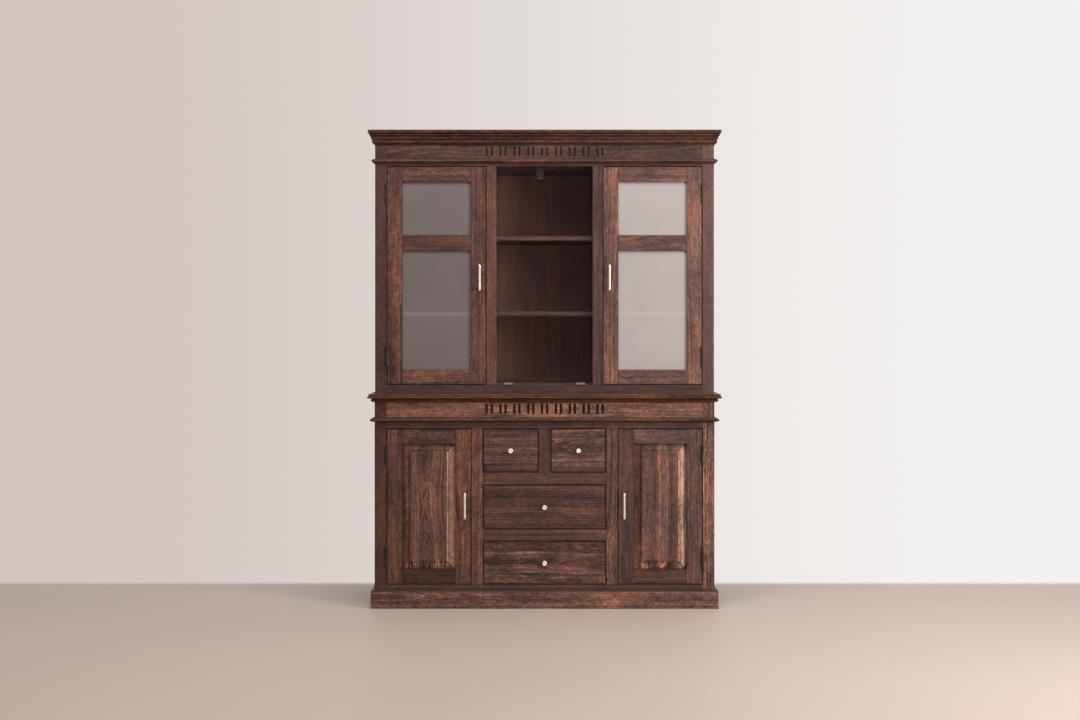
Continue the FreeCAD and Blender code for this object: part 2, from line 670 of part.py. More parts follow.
def build_glass_door(name, side):
    label = f"glass_door_{name}"
    face = HUTCH_FACE
    deep = (face, face + D.frame_thickness)
    left, right = mirrored(side, GLASS_DOOR_EDGE + D.door_gap, HUTCH_POST_EDGE - D.hinge_gap)
    low = D.hutch_opening_bottom + D.door_gap
    top = D.hutch_opening_top - D.door_gap
    stile = D.glass_stile_width
    middle = (D.glass_middle_rail_bottom, D.glass_middle_rail_bottom + D.glass_middle_rail)
    across = (left + stile, right - stile)
    members = {
        "left_stile": ((left, left + stile), (low, top)),
        "right_stile": ((right - stile, right), (low, top)),
        "bottom_rail": (across, (low, low + D.glass_bottom_rail)),
        "middle_rail": (across, middle),
        "top_rail": (across, (top - stile, top)),
    }
    heights = [(low + D.glass_bottom_rail, middle[0]), (middle[1], top - stile)]
    rebate = (face + D.pane_setback, deep[1])
    pieces = framed(label, members, [(across, high, rebate) for high in heights], deep)
    panes = []
    bead_deep = (face + D.pane_setback + D.pane_thickness, deep[1] - 2)
    reach = D.groove_depth - D.tongue_play
    for index, high in enumerate(heights):
        pieces += glazing_beads(f"{label}_{index}", across, high, bead_deep)
        panes.append(board(f"{label}_pane_{index}", (across[0] - reach, across[1] + reach),
                           (rebate[0], bead_deep[0]), (high[0] - reach, high[1] + reach)))
    node(f"{label}_frame", *pieces)
    node(f"{label}_panes", *panes)


def raised_panel(label, across, high, face):
    """A raised and fielded panel: a flat field, a small step, a bevel all round, and a tongue."""
    left, right = across
    low, top = high
    field = face + D.field_setback
    step = field + D.field_step
    tongue = face + D.tongue_setback
    back = tongue + D.tongue_thickness
    reach = D.groove_depth - D.tongue_play
    bevel = D.panel_bevel
    plan = [(left + bevel, field), (right - bevel, field), (right - bevel, step), (right, tongue),
            (right + reach, tongue), (right + reach, back), (left - reach, back),
            (left - reach, tongue), (left, tongue), (left + bevel, step)]
    section = [(back, low - reach), (back, top + reach), (tongue, top + reach), (tongue, top),
               (step, top - bevel), (field, top - bevel), (field, low + bevel), (step, low + bevel),
               (tongue, low), (tongue, low - reach)]
    upright = prism(label + "_plan", "XY_Plane", plan, D.full_height)
    level = prism(label + "_section", "YZ_Plane", section, D.full_width)
    return common(label, upright, level)


def build_lower_door(name, side):
    label = f"lower_door_{name}"
    face = BASE_FACE
    left, right = mirrored(side, BASE_DOOR_EDGE + D.door_gap, BASE_POST_EDGE - D.hinge_gap)
    low = D.base_opening_bottom + D.door_gap
    top = D.base_opening_top - D.door_gap
    stile = D.panel_stile_width
    rail = D.panel_rail_width
    across = (left + stile, right - stile)
    high = (low + rail, top - rail)
    members = {
        "left_stile": ((left, left + stile), (low, top)),
        "right_stile": ((right - stile, right), (low, top)),
        "bottom_rail": (across, (low, low + rail)),
        "top_rail": (across, (top - rail, top)),
    }
    groove = (face + D.tongue_setback, face + D.tongue_setback + D.tongue_thickness)
    deep = (face, face + D.frame_thickness)
    node(f"{label}_frame", *framed(label, members, [(across, high, groove)], deep))
    node(f"{label}_panel", raised_panel(label + "_raised", across, high, face))


def bar_pull(label, centre_x, face, centre_z):
    """A slim upright bar on two round legs."""
    half_width = D.pull_width / 2
    half_length = D.pull_length / 2
    body = DOC.addObject("PartDesign::Body", label + "_bar")
    pad = body.newObject("PartDesign::Pad", label + "_bar_pad")
    pad.Profile = outline(body, "XZ_Plane", [(-half_width, -half_length), (half_width, -half_length),
                                             (half_width, half_length), (-half_width, half_length)])
    pad.setExpression("Length", D.pull_thickness.formula)
    DOC.recompute()
    rounding = body.newObject("PartDesign::Fillet", label + "_rounding")
    rounding.Base = (pad, [])
    rounding.UseAllEdges = True
    rounding.Radius = 1.6
    leg_length = D.pull_proud - D.pull_thickness
    place(body, (centre_x, face - leg_length, centre_z))
    legs = [rod(f"{label}_leg_{index}", 4, (centre_x, face - leg_length, centre_z + offset), leg_length,
                ALONG_Y)
            for index, offset in enumerate((-D.pull_centres / 2, D.pull_centres / 2))]
    node(label, body, *legs)


def build_doors():
    for name, side in SIDES:
        build_glass_door(name, side)
        bar_pull(f"glass_door_{name}_handle", D.glass_pull_place * side, HUTCH_FACE,
                 D.glass_pull_height)
        build_lower_door(name, side)
        bar_pull(f"lower_door_{name}_handle", D.panel_pull_place * side, BASE_FACE,
                 D.panel_pull_height)


# ---- drawers ----

def knob(label, centre):
    """A turned knob: a foot, a waist, and a round head with a ring and a hollow middle."""
    head = D.knob_radius
    tip = -D.knob_proud
    outline_points = [(0, tip + 3), (4, tip + 2, 12), (6.2, tip + 0.2, -4), (8.2, tip, 1.8),
                      (head, tip + 3, 5), (head, tip + 6), (6, tip + 12, -9), (5, -5), (7.5, -1.5, -5),
                      (7.5, 0), (0, 0)]
    body = DOC.addObject("PartDesign::Body", label)
    turned = body.newObject("PartDesign::Revolution", label + "_turned")
    turned.Profile = outline(body, "XY_Plane", outline_points)
    turned.ReferenceAxis = (turned.Profile[0], ["V_Axis"])
    turned.Angle = 360
    place(body, centre)
    return body


def drawer(label, across, high, box_across, box_top_gap, knob_height):
    """One drawer: its front, its box of two sides, a back and a bottom, and its knob."""
    left, right = across
    low, top = high
    gap = D.door_gap
    face = BASE_FACE
    front_back = face + D.frame_thickness
    node(f"{label}_front", board(label + "_front", (left + gap, right - gap), (face, front_back),
                                 (low + gap, top - gap)))
    box_left, box_right = box_across
    box_low = low + gap + 6
    box_top = top - box_top_gap
    box_rear = front_back + D.drawer_box_depth
    wall = D.drawer_side_thickness
    bottom_low = box_low + 6
    bottom_top = bottom_low + D.drawer_bottom_thickness
    inner = (box_left + wall, box_right - wall)
    node(f"{label}_box",
         board(label + "_left_side", (box_left, box_left + wall), (front_back, box_rear), (box_low, box_top)),
         board(label + "_right_side", (box_right - wall, box_right), (front_back, box_rear),
               (box_low, box_top)),
         board(label + "_back", inner, (box_rear - wall, box_rear), (bottom_low, box_top)),
         board(label + "_bottom", inner, (front_back, box_rear - wall), (bottom_low, bottom_top)),
         board(label + "_lip", inner, (front_back, front_back + wall), (bottom_top, box_top)))
    node(f"{label}_knob", knob(label + "_turned_knob", ((left + right) / 2, face, knob_height)))
    return box_low


def runner_pair(label, faces, top):
    """Runners under one drawer's sides. faces is ((x, direction towards the drawer's middle), ...)."""
    deep = (BASE_FACE + D.frame_thickness, BACK_FRONT)
    pieces = []
    for index, (place_x, direction) in enumerate(faces):
        inner = place_x + D.runner_width * direction
        across = (place_x, inner) if direction > 0 else (inner, place_x)
        pieces.append(board(f"{label}_runner_{index}", across, deep, (top - D.runner_height, top)))
    return pieces


def build_drawers():
    clear = 0.5
    runners = []
    half_muntin = D.muntin_width / 2
    divider = D.board_thickness / 2
    upper = (D.small_drawer_bottom, D.base_opening_top)
    upper_middle = (upper[0] + upper[1]) / 2
    for name, side in SIDES:
        label = f"small_drawer_{name}"
        across = mirrored(side, half_muntin, DRAWER_HALF)
        box = mirrored(side, half_muntin + 5, DRAWER_HALF - 5)
        low = drawer(label, across, upper, box, 17, upper_middle)
        faces = ((divider * side, side), (BASE_PARTITION * side, -side))
        runners += runner_pair(label, faces, low - clear)
    wide = (-DRAWER_HALF, DRAWER_HALF)
    box = (-(DRAWER_HALF - 8), DRAWER_HALF - 8)
    faces = ((-BASE_PARTITION, 1), (BASE_PARTITION, -1))
    middle = (D.middle_drawer_bottom, D.middle_drawer_top)
    low = drawer("middle_drawer", wide, middle, box, 17, (middle[0] + middle[1]) / 2)
    runners += runner_pair("middle_drawer", faces, low - clear)
    bottom = (D.base_opening_bottom, D.bottom_drawer_top)
    low = drawer("bottom_drawer", wide, bottom, box, 17, (bottom[0] + bottom[1]) / 2)
    for name, side in SIDES:
        across = mirrored(side, BASE_PARTITION - D.runner_width, BASE_PARTITION)
        runners.append(board(f"bottom_drawer_runner_{name}", across,
                             (BASE_FACE + D.frame_thickness, BACK_FRONT), (bottom[0], low - clear)))
    node("drawer_runners", *runners)


# ---- the centre bay's glass flap ----

CLAMP_WALL = 3
CLAMP_RISE = 7


def flap_knuckle_place():
    return HUTCH_FACE - D.flap_axis_proud, D.hutch_opening_bottom + D.flap_axis_rise


def flap_clamp(label, centre_x, pane_front, pane_foot):
    """A clamp that grips the flap's bottom edge, with the knuckle it turns on."""
    half = D.clamp_width / 2
    across = (centre_x - half, centre_x + half)
    axis_y, axis_z = flap_knuckle_place()
    foot = pane_foot - 1.2
    top = pane_foot + CLAMP_RISE
    pane_back = pane_front + D.glass_flap_thickness
    pieces = [
        board(label + "_front", across, (pane_front - CLAMP_WALL, pane_front), (foot, top)),
        board(label + "_back", across, (pane_back, pane_back + CLAMP_WALL), (foot, top)),
        board(label + "_under", across, (pane_front - CLAMP_WALL, pane_back + CLAMP_WALL),
              (foot, pane_foot)),
        rod(label + "_knuckle", 3.2, (across[0], axis_y, axis_z), D.clamp_width, ALONG_X),
    ]
    bore = rod(label + "_bore", 1.55, (across[0] - 1, axis_y, axis_z), D.clamp_width + 2, ALONG_X)
    return cut(label, fused(label + "_blank", pieces), bore)


def flap_bracket(label, centre_x):
    """A bracket on the sill's upper edge whose two ears hold the flap's pin, and the pin itself."""
    axis_y, axis_z = flap_knuckle_place()
    ear_in = D.clamp_width / 2 + 0.3
    ear_out = ear_in + 4
    sill = D.hutch_opening_bottom
    pieces = [board(label + "_plate", (centre_x - ear_out, centre_x + ear_out),
                    (HUTCH_FACE, HUTCH_FACE + 16), (sill, sill + 1))]
    for name, side in SIDES:
        inner, outer = mirrored(side, ear_in, ear_out)
        pieces.append(board(f"{label}_ear_{name}", (centre_x + inner, centre_x + outer),
                            (axis_y - 3.2, HUTCH_FACE + 0.5), (sill, axis_z + 3.2)))
    start = centre_x - ear_out
    length = ear_out * 2
    bore = rod(label + "_bore", 1.55, (start - 1, axis_y, axis_z), length + 2, ALONG_X)
    pin = rod(label + "_pin", 1.5, (start, axis_y, axis_z), length, ALONG_X)
    return [cut(label, fused(label + "_blank", pieces), bore), pin]


def build_flap():
    """The clear flap, its clamps and brackets, and the touch latch that holds it shut."""
    gap = D.flap_gap
    front = HUTCH_FACE + D.flap_setback
    foot = D.hutch_opening_bottom + gap
    half = BAY_HALF - gap
    pane = board("pane", (-half, half), (front, front + D.glass_flap_thickness),
                 (foot, D.hutch_opening_top - gap))
    node("glass_flap_pane", pane)
    node("glass_flap_clamps", *(flap_clamp(f"clamp_{name}", D.clamp_place * side, front, foot)
                                for name, side in SIDES))
    brackets = []
    for name, side in SIDES:
        brackets += flap_bracket(f"bracket_{name}", D.clamp_place * side)
    node("glass_flap_brackets", *brackets)
    build_touch_latch(front + D.glass_flap_thickness)


def build_touch_latch(glass_back):
    """A touch latch under the ceiling: a housing, and a sprung plunger that meets the glass."""
    centre_x = -19
    centre_z = D.hutch_opening_top - 41
    head_front = glass_back + 0.3
    head_back = head_front + 4
    housing_front = head_back + 4.6
    housing = board("housing", (centre_x - 17, centre_x + 17), (housing_front, housing_front + 62),
                    (centre_z - 16, D.hutch_opening_top))
    bore = rod("housing_bore", 5.1, (centre_x, housing_front - 1, centre_z), 56, ALONG_Y)
    node("latch_housing", cut("bored_housing", housing, bore))
    head = board("plunger_head", (centre_x - 12.5, centre_x + 12.5), (head_front, head_back),
                 (centre_z - 14.5, centre_z + 14.5))
    stem = rod("plunger_stem", 5, (centre_x, head_back - 1, centre_z), 45, ALONG_Y)
    node("latch_plunger", fused("plunger", [head, stem]))


def build_catches(base_partition, hutch_partition):
    """Magnetic catches on the partitions, just behind the free edge of each door."""
    catches = []
    rows = [("hutch", HUTCH_FACE, hutch_partition, D.hutch_opening_top),
            ("base", BASE_FACE, base_partition, D.base_opening_top)]
    for row, face, partition, top in rows:
        front = face + D.frame_thickness + 0.5
        thickness = (BASE_DOOR_EDGE - base_partition if row == "base" else
                     GLASS_DOOR_EDGE - hutch_partition) + 14
        for name, side in SIDES:
            catches.append(board(f"{row}_catch_{name}", mirrored(side, partition, partition + thickness),
                                 (front, front + 16), (top - 62, top - 18)))
    node("door_catches", *catches)


# ---- the whole cabinet ----

def check_document():
    """Stop if any object failed, or if any sub-part's shape is missing or not valid."""
    failed = [item.Label for item in DOC.Objects if {"Invalid", "Error"} & set(item.State)]
    bad = [item.Label for item in NODES if item.Shape.isNull() or not item.Shape.isValid()]
    if failed or bad:
        raise RuntimeError(f"failed objects {failed}, bad shapes {bad}")


def export_nodes():
    os.makedirs("parts", exist_ok=True)
    for item in NODES:
        item.Shape.exportStep(f"parts/{item.Label}.step")
        low = item.Shape.BoundBox
        print(f"{item.Label}: {len(item.Shape.Solids)} solids, {item.Shape.Volume / 1000:.1f} cm3, "
              f"X {low.XMin:.1f} {low.XMax:.1f} Y {low.YMin:.1f} {low.YMax:.1f} "
              f"Z {low.ZMin:.1f} {low.ZMax:.1f}")
    print(len(NODES), "nodes")


def build():
    base_frame, base_panels, base_partition = build_base_carcass()
    hutch_frame, hutch_panels, hutch_tool, hutch_partition = build_hutch_carcass()
    node("side_panels", *base_panels, *hutch_panels)
    node("bead_mouldings",
         *moulding("base_bead", BASE_BEAD_PROFILE, D.base_bead_bottom, BASE_HALF, BASE_FACE),
         *moulding("hutch_bead", HUTCH_BEAD_PROFILE, D.hutch_bead_bottom, HUTCH_HALF, HUTCH_FACE))
    build_shelves(base_partition, hutch_partition, group("base_shelf_tool", base_frame), hutch_tool)
    build_hinges()
    build_doors()
    build_drawers()
    build_flap()
    build_catches(base_partition, hutch_partition)
    DOC.recompute()
    check_document()
    export_nodes()


build()
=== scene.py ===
import json
import math
import random

import bmesh
import bpy
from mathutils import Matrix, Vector

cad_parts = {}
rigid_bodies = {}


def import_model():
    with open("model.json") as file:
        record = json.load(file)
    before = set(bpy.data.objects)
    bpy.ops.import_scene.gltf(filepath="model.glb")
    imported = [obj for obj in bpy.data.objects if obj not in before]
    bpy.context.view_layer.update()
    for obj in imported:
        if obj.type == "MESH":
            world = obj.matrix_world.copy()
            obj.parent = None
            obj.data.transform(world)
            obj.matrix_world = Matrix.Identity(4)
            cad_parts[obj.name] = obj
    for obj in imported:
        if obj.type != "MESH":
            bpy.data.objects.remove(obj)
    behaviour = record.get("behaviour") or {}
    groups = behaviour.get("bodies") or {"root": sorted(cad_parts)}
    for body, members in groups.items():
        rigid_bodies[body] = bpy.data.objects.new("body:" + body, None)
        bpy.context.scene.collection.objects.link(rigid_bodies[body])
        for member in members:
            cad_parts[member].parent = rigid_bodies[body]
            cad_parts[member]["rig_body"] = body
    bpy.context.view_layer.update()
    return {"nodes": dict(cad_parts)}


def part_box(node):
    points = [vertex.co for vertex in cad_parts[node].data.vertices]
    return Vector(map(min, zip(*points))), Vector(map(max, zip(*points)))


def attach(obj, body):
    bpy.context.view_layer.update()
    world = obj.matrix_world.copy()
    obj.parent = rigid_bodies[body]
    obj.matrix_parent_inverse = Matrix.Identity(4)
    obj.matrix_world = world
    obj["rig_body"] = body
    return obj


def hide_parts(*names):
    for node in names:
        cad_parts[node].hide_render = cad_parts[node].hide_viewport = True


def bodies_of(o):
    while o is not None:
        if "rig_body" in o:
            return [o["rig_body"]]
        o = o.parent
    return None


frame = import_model()

# Metres. The cabinet stands on the floor at the origin, its front faces -Y, and its back is at +Y.
# Every wooden node is rebuilt board by board: the CAD shape with its edges eased, and on each board
# the attributes that the wood material reads.
MM = 0.001


# ---- reading the frame ----

def solids_of(node):
    """The closed solids in a CAD node, each as (corner list, face list). A node's faces come solid by
    solid, so a solid ends where every edge met so far has met its neighbour."""
    mesh = frame["nodes"][node].data
    solids = []
    corners, faces, numbers, waiting = [], [], {}, set()
    for polygon in mesh.polygons:
        face = []
        for index in polygon.vertices:
            place = mesh.vertices[index].co
            key = tuple(round(value * 1e5) for value in place)
            if key not in numbers:
                numbers[key] = len(corners)
                corners.append(place.copy())
            face.append(numbers[key])
        if len(set(face)) == len(face):
            faces.append(face)
        for start, end in zip(face, face[1:] + face[:1]):
            if start == end:
                continue
            if (end, start) in waiting:
                waiting.discard((end, start))
            else:
                waiting.add((start, end))
        if not waiting:
            solids.append((corners, faces))
            corners, faces, numbers = [], [], {}
    return solids


def body_of(node):
    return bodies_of(frame["nodes"][node])[0]


# ---- boards ----

FLAT = math.radians(0.6)
SHARP = math.radians(28)


def eased(corners, faces, ease):
    """One solid as a bmesh with flat faces merged and its sharp edges rounded over."""
    shape = bmesh.new()
    points = [shape.verts.new(place) for place in corners]
    for face in faces:
        try:
            shape.faces.new([points[index] for index in face])
        except ValueError:
            continue  # the face is there already
    bmesh.ops.dissolve_limit(shape, angle_limit=FLAT, verts=shape.verts, edges=shape.edges)
    bmesh.ops.recalc_face_normals(shape, faces=shape.faces)
    sharp = [edge for edge in shape.edges
             if len(edge.link_faces) == 2 and edge.calc_face_angle(0) > SHARP]
    if ease and sharp:
        bmesh.ops.bevel(shape, geom=sharp, offset=ease, offset_type="OFFSET", segments=2,
                        profile=0.6, affect="EDGES", clamp_overlap=True)
    return shape


def grain_axes(size, along):
    """The board's axes in the order along the grain, across it, through it. The grain runs along
    the longest side, unless along names another axis."""
    order = sorted(range(3), key=lambda axis: -size[axis])
    if along is not None:
        order.remove(along)
        order.insert(0, along)
    return order


def region_of(normal):
    """The name of a raised panel's region that faces this way, seen from the front. Each region's
    look paints light and shade on that bevel.
    """
    if normal.y > -0.3:
        return None
    leans = {"right": normal.x, "left": -normal.x, "top": normal.z, "bottom": -normal.z}
    side = max(leans, key=leans.get)
    return side if leans[side] > 0.08 else None


def groove_depths(shape):
    """For each vertex, 1 in a hollow corner, 0 on a flat face and -1 on a proud corner."""
    depths = {}
    for vert in shape.verts:
        bends = [-edge.calc_face_angle_signed(0) for edge in vert.link_edges
                 if len(edge.link_faces) == 2]
        sharpest = max(bends, key=abs, default=0.0)
        depths[vert] = max(-1.0, min(1.0, sharpest / math.radians(35)))
    return depths


# A strip width wider than any board, so that the board is one strip.
WHOLE = 9.0
# How far behind a board's front a slot's floor lies, and how strong the painted shade on it is.
CARVED_DEEPER = 0.8 * MM
CARVED_SHADE = 0.93


def wood_piece(name, node, body, ease=0.7 * MM, along=None, stave=None, looks=(), edge_dirt=0.5,
               side_dirt=0.0, outline=0.0, carved=False):
    """One piece made of every board in a CAD node. Each board is cut from its own log. A board's
    log is the pith's offset across the board, its depth behind the face and its tilt along the
    board, and its tone is (lightness, warmth, figure). looks gives chosen boards, or the regions
    of a raised panel, their own values; the regions' values paint light and shade on the bevels.
    stave is the width of the strips that a wide board is glued up from. edge_dirt and side_dirt
    paint shade on a board's edges and sides, beside the gaps, outline is how far a painted shadow
    line runs inside its outline, and carved paints shade on the floors of its slots."""
    draw = random.Random(name)
    looks = dict(looks)
    vertices, faces = [], []
    points = {"grain": [], "span": [], "groove": []}
    constants = {"seed": [], "log": [], "tone": [], "strip": [], "outline": []}
    for index, (corners, cad_faces) in enumerate(solids_of(node)):
        shape = eased(corners, cad_faces, ease)
        shape.verts.index_update()
        shape.normal_update()
        low = [min(vert.co[axis] for vert in shape.verts) for axis in range(3)]
        high = [max(vert.co[axis] for vert in shape.verts) for axis in range(3)]
        size = [top - bottom for bottom, top in zip(low, high)]
        order = grain_axes(size, along)
        middle = [(bottom + top) / 2 for bottom, top in zip(low, high)]
        chance = dict(seed=(draw.random(), draw.random(), draw.random()),
                      log=(draw.uniform(-0.09, 0.09), draw.uniform(0.02, 0.10),
                           draw.uniform(-0.05, 0.05)),
                      tone=(draw.uniform(-0.07, 0.06), draw.uniform(0.2, 0.9),
                            draw.uniform(0.7, 1.1)),
                      stave=stave or WHOLE)
        chance.update(looks.get("all", {}))
        chance.update(looks.get(index, {}))
        depths = groove_depths(shape)
        base = len(vertices)
        for vert in shape.verts:
            vertices.append(vert.co.copy())
            points["grain"].append([vert.co[axis] - middle[axis] for axis in order])
            points["span"].append([size[axis] / 2 for axis in order])
            points["groove"].append((depths[vert], 0.0, 0.0))
        for face in shape.faces:
            faces.append([vert.index + base for vert in face.verts])
            # A face that leans on a raised panel takes its region's look: painted light and shade on the
            # bevel.
            values = {**chance, **looks.get(region_of(face.normal), {})}
            for label in ("seed", "log", "tone"):
                constants[label].append(values[label])
            constants["strip"].append((values["stave"], edge_dirt, 0.0))
            # Painted shade on faces that look sideways into the gaps, and on the floors of slots.
            shade = side_dirt if abs(face.normal.y) < 0.5 else 0.0
            if carved and face.calc_center_median().y > low[1] + CARVED_DEEPER:
                shade = CARVED_SHADE
            constants["outline"].append((outline, shade, 0.0))
        shape.free()
    piece = mesh_piece(name, vertices, faces, body, [node])
    for domain, layers in (("POINT", points), ("FACE", constants)):
        for label, rows in layers.items():
            layer = piece.data.attributes.new(label, "FLOAT_VECTOR", domain)
            layer.data.foreach_set("vector", [value for row in rows for value in row])
    return piece


def mesh_piece(name, vertices, faces, body, nodes, smooth_angle=40):
    """A mesh object that rides a body and stands for CAD nodes."""
    mesh = bpy.data.meshes.new(name)
    mesh.from_pydata([tuple(place) for place in vertices], [], faces)
    mesh.validate()
    mesh.shade_smooth()
    mesh.set_sharp_from_angle(angle=math.radians(smooth_angle))
    piece = bpy.data.objects.new(name, mesh)
    bpy.context.scene.collection.objects.link(piece)
    shading = piece.modifiers.new("even shading", "WEIGHTED_NORMAL")
    shading.keep_sharp = True
    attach(piece, body)
    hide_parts(*nodes)
    return piece


# ---- materials ----

class Nodes:
    """The node tree of a material or world, with one short call for each kind of node."""

    def __init__(self, owner):
        owner.use_nodes = True
        self.tree = owner.node_tree

    def link(self, source, socket):
        if isinstance(source, (int, float, tuple)):
            socket.default_value = source
        else:
            self.tree.links.new(source, socket)

    def coordinates(self):
        return self.tree.nodes.new("ShaderNodeTexCoord").outputs["Object"]

    def attribute(self, name):
        node = self.tree.nodes.new("ShaderNodeAttribute")
        node.attribute_name = name
        return node.outputs["Vector"]

    def math(self, operation, first, second=0.0, clamp=False):
        node = self.tree.nodes.new("ShaderNodeMath")
        node.operation = operation
        node.use_clamp = clamp
        for value, socket in zip((first, second), node.inputs):
            self.link(value, socket)
        return node.outputs[0]

    def add(self, first, *others, clamp=False):
        for other in others:
            first = self.math("ADD", first, other, clamp)
        return first

    def subtract(self, first, second):
        return self.math("SUBTRACT", first, second)

    def multiply(self, first, *others):
        for other in others:
            first = self.math("MULTIPLY", first, other)
        return first

    def vector(self, operation, first, second=(0, 0, 0)):
        node = self.tree.nodes.new("ShaderNodeVectorMath")
        node.operation = operation
        self.link(first, node.inputs[0])
        if operation == "SCALE":
            self.link(second, node.inputs["Scale"])
        else:
            self.link(second, node.inputs[1])
        return node.outputs["Value" if operation == "LENGTH" else "Vector"]

    def split(self, vector):
        node = self.tree.nodes.new("ShaderNodeSeparateXYZ")
        self.link(vector, node.inputs[0])
        return node.outputs[0], node.outputs[1], node.outputs[2]

    def join(self, first, second, third):
        node = self.tree.nodes.new("ShaderNodeCombineXYZ")
        for value, socket in zip((first, second, third), node.inputs):
            self.link(value, socket)
        return node.outputs[0]

    def noise(self, place, scale=1.0, detail=2.0, roughness=0.5, dimensions="3D", output="Fac"):
        node = self.tree.nodes.new("ShaderNodeTexNoise")
        node.noise_dimensions = dimensions
        self.link(place, node.inputs["W" if dimensions == "1D" else "Vector"])
        node.inputs["Scale"].default_value = scale
        node.inputs["Detail"].default_value = detail
        node.inputs["Roughness"].default_value = roughness
        return node.outputs[output]

    def swing(self, place, *settings, **more):
        """Noise that swings about zero."""
        return self.subtract(self.noise(place, *settings, **more), 0.5)

    def random(self, place):
        node = self.tree.nodes.new("ShaderNodeTexWhiteNoise")
        node.noise_dimensions = "3D"
        self.link(place, node.inputs["Vector"])
        return node.outputs["Color"]

    def nearest_point(self, place):
        """The distance to the nearest of many scattered points, about one unit apart."""
        node = self.tree.nodes.new("ShaderNodeTexVoronoi")
        self.link(place, node.inputs["Vector"])
        node.inputs["Scale"].default_value = 1.0
        return node.outputs["Distance"]

    def ramp(self, factor, stops):
        node = self.tree.nodes.new("ShaderNodeValToRGB")
        elements = node.color_ramp.elements
        while len(elements) < len(stops):
            elements.new(0.5)
        for element, (position, colour) in zip(elements, stops):
            element.position = position
            element.color = (*colour, 1.0)
        self.link(factor, node.inputs[0])
        return node.outputs["Color"]

    def smooth(self, value, low, high, to_low=0.0, to_high=1.0):
        node = self.tree.nodes.new("ShaderNodeMapRange")
        node.interpolation_type = "SMOOTHSTEP"
        for number, socket in zip((value, low, high, to_low, to_high), node.inputs):
            self.link(number, socket)
        return node.outputs["Result"]

    def mix(self, factor, first, second, blend="MIX"):
        node = self.tree.nodes.new("ShaderNodeMix")
        node.data_type = "RGBA"
        node.blend_type = blend
        self.link(factor, node.inputs["Factor"])
        self.link((*first, 1.0) if isinstance(first, tuple) else first, node.inputs["A"])
        self.link((*second, 1.0) if isinstance(second, tuple) else second, node.inputs["B"])
        return node.outputs["Result"]

    def bump(self, height, strength, distance):
        node = self.tree.nodes.new("ShaderNodeBump")
        node.inputs["Strength"].default_value = strength
        node.inputs["Distance"].default_value = distance
        self.link(height, node.inputs["Height"])
        return node.outputs["Normal"]

    def surface(self, **inputs):
        """A Principled surface: keyword names are socket names with _ for a space."""
        shader = self.tree.nodes.new("ShaderNodeBsdfPrincipled")
        for name, value in inputs.items():
            self.link(value, shader.inputs[name.replace("_", " ")])
        self.show(shader)
        return shader

    def show(self, shader):
        """Make a shader the material's surface."""
        self.link(shader.outputs[0], self.tree.nodes["Material Output"].inputs["Surface"])

    def blend(self, factor, first, second):
        """Show a mixture of two shaders."""
        mix = self.tree.nodes.new("ShaderNodeMixShader")
        self.link(factor, mix.inputs[0])
        self.link(first.outputs[0], mix.inputs[1])
        self.link(second.outputs[0], mix.inputs[2])
        self.show(mix)


def new_material(name):
    """A material with nothing in its tree but the output, and the Nodes that fill it."""
    material = bpy.data.materials.new(name)
    n = Nodes(material)
    n.tree.nodes.clear()
    n.tree.nodes.new("ShaderNodeOutputMaterial")
    return material, n


# Random numbers are spread out by these before they choose a place in the noise.
SEED_SPREAD = (19.0, 37.0, 53.0)
PLACE_SPREAD = 23.0
RADIUS_SPREAD = 7.0
KNOT_SPREAD = 9.0

# Figure in the wood: how often it changes per metre along and across the grain, detail, roughness.
BEND = (1.9, 6.0, 2.0, 0.5)
RAGGED = (14.0, 70.0, 3.0, 0.65)
STREAKS = (5.0, 170.0, 3.0, 0.6)
FLECKS = (75.0, 230.0, 2.0, 0.6)
FIBRES = (24.0, 620.0, 2.0, 0.6)
PORES = (70.0, 1300.0, 1.0, 0.5)
CLOUDS = (4.2, 15.0, 3.0, 0.55)
MOTTLE = (30.0, 60.0, 2.0, 0.6)
KNOTS_ALONG, KNOTS_ACROSS = 1.5, 4.2

# Where each of a material's six tones lies between the darkest and the lightest wood.
TONE_STOPS = (0.02, 0.24, 0.46, 0.64, 0.82, 1.0)
MIDDLE_TONE = 0.39
REDDER = (1.18, 0.90, 0.72)


def wood_strips(n, across, stave_width, seeds):
    """Three random numbers for each strip of a glued-up board, and 1 where a board has strips."""
    strip = n.math("FLOOR", n.add(n.math("DIVIDE", across, stave_width), 0.5))
    spread = [n.multiply(seed, factor) for seed, factor in zip(seeds, SEED_SPREAD)]
    pick = n.random(n.join(n.add(strip, spread[0]), spread[1], spread[2]))
    return pick, n.math("LESS_THAN", stave_width, 1.0)


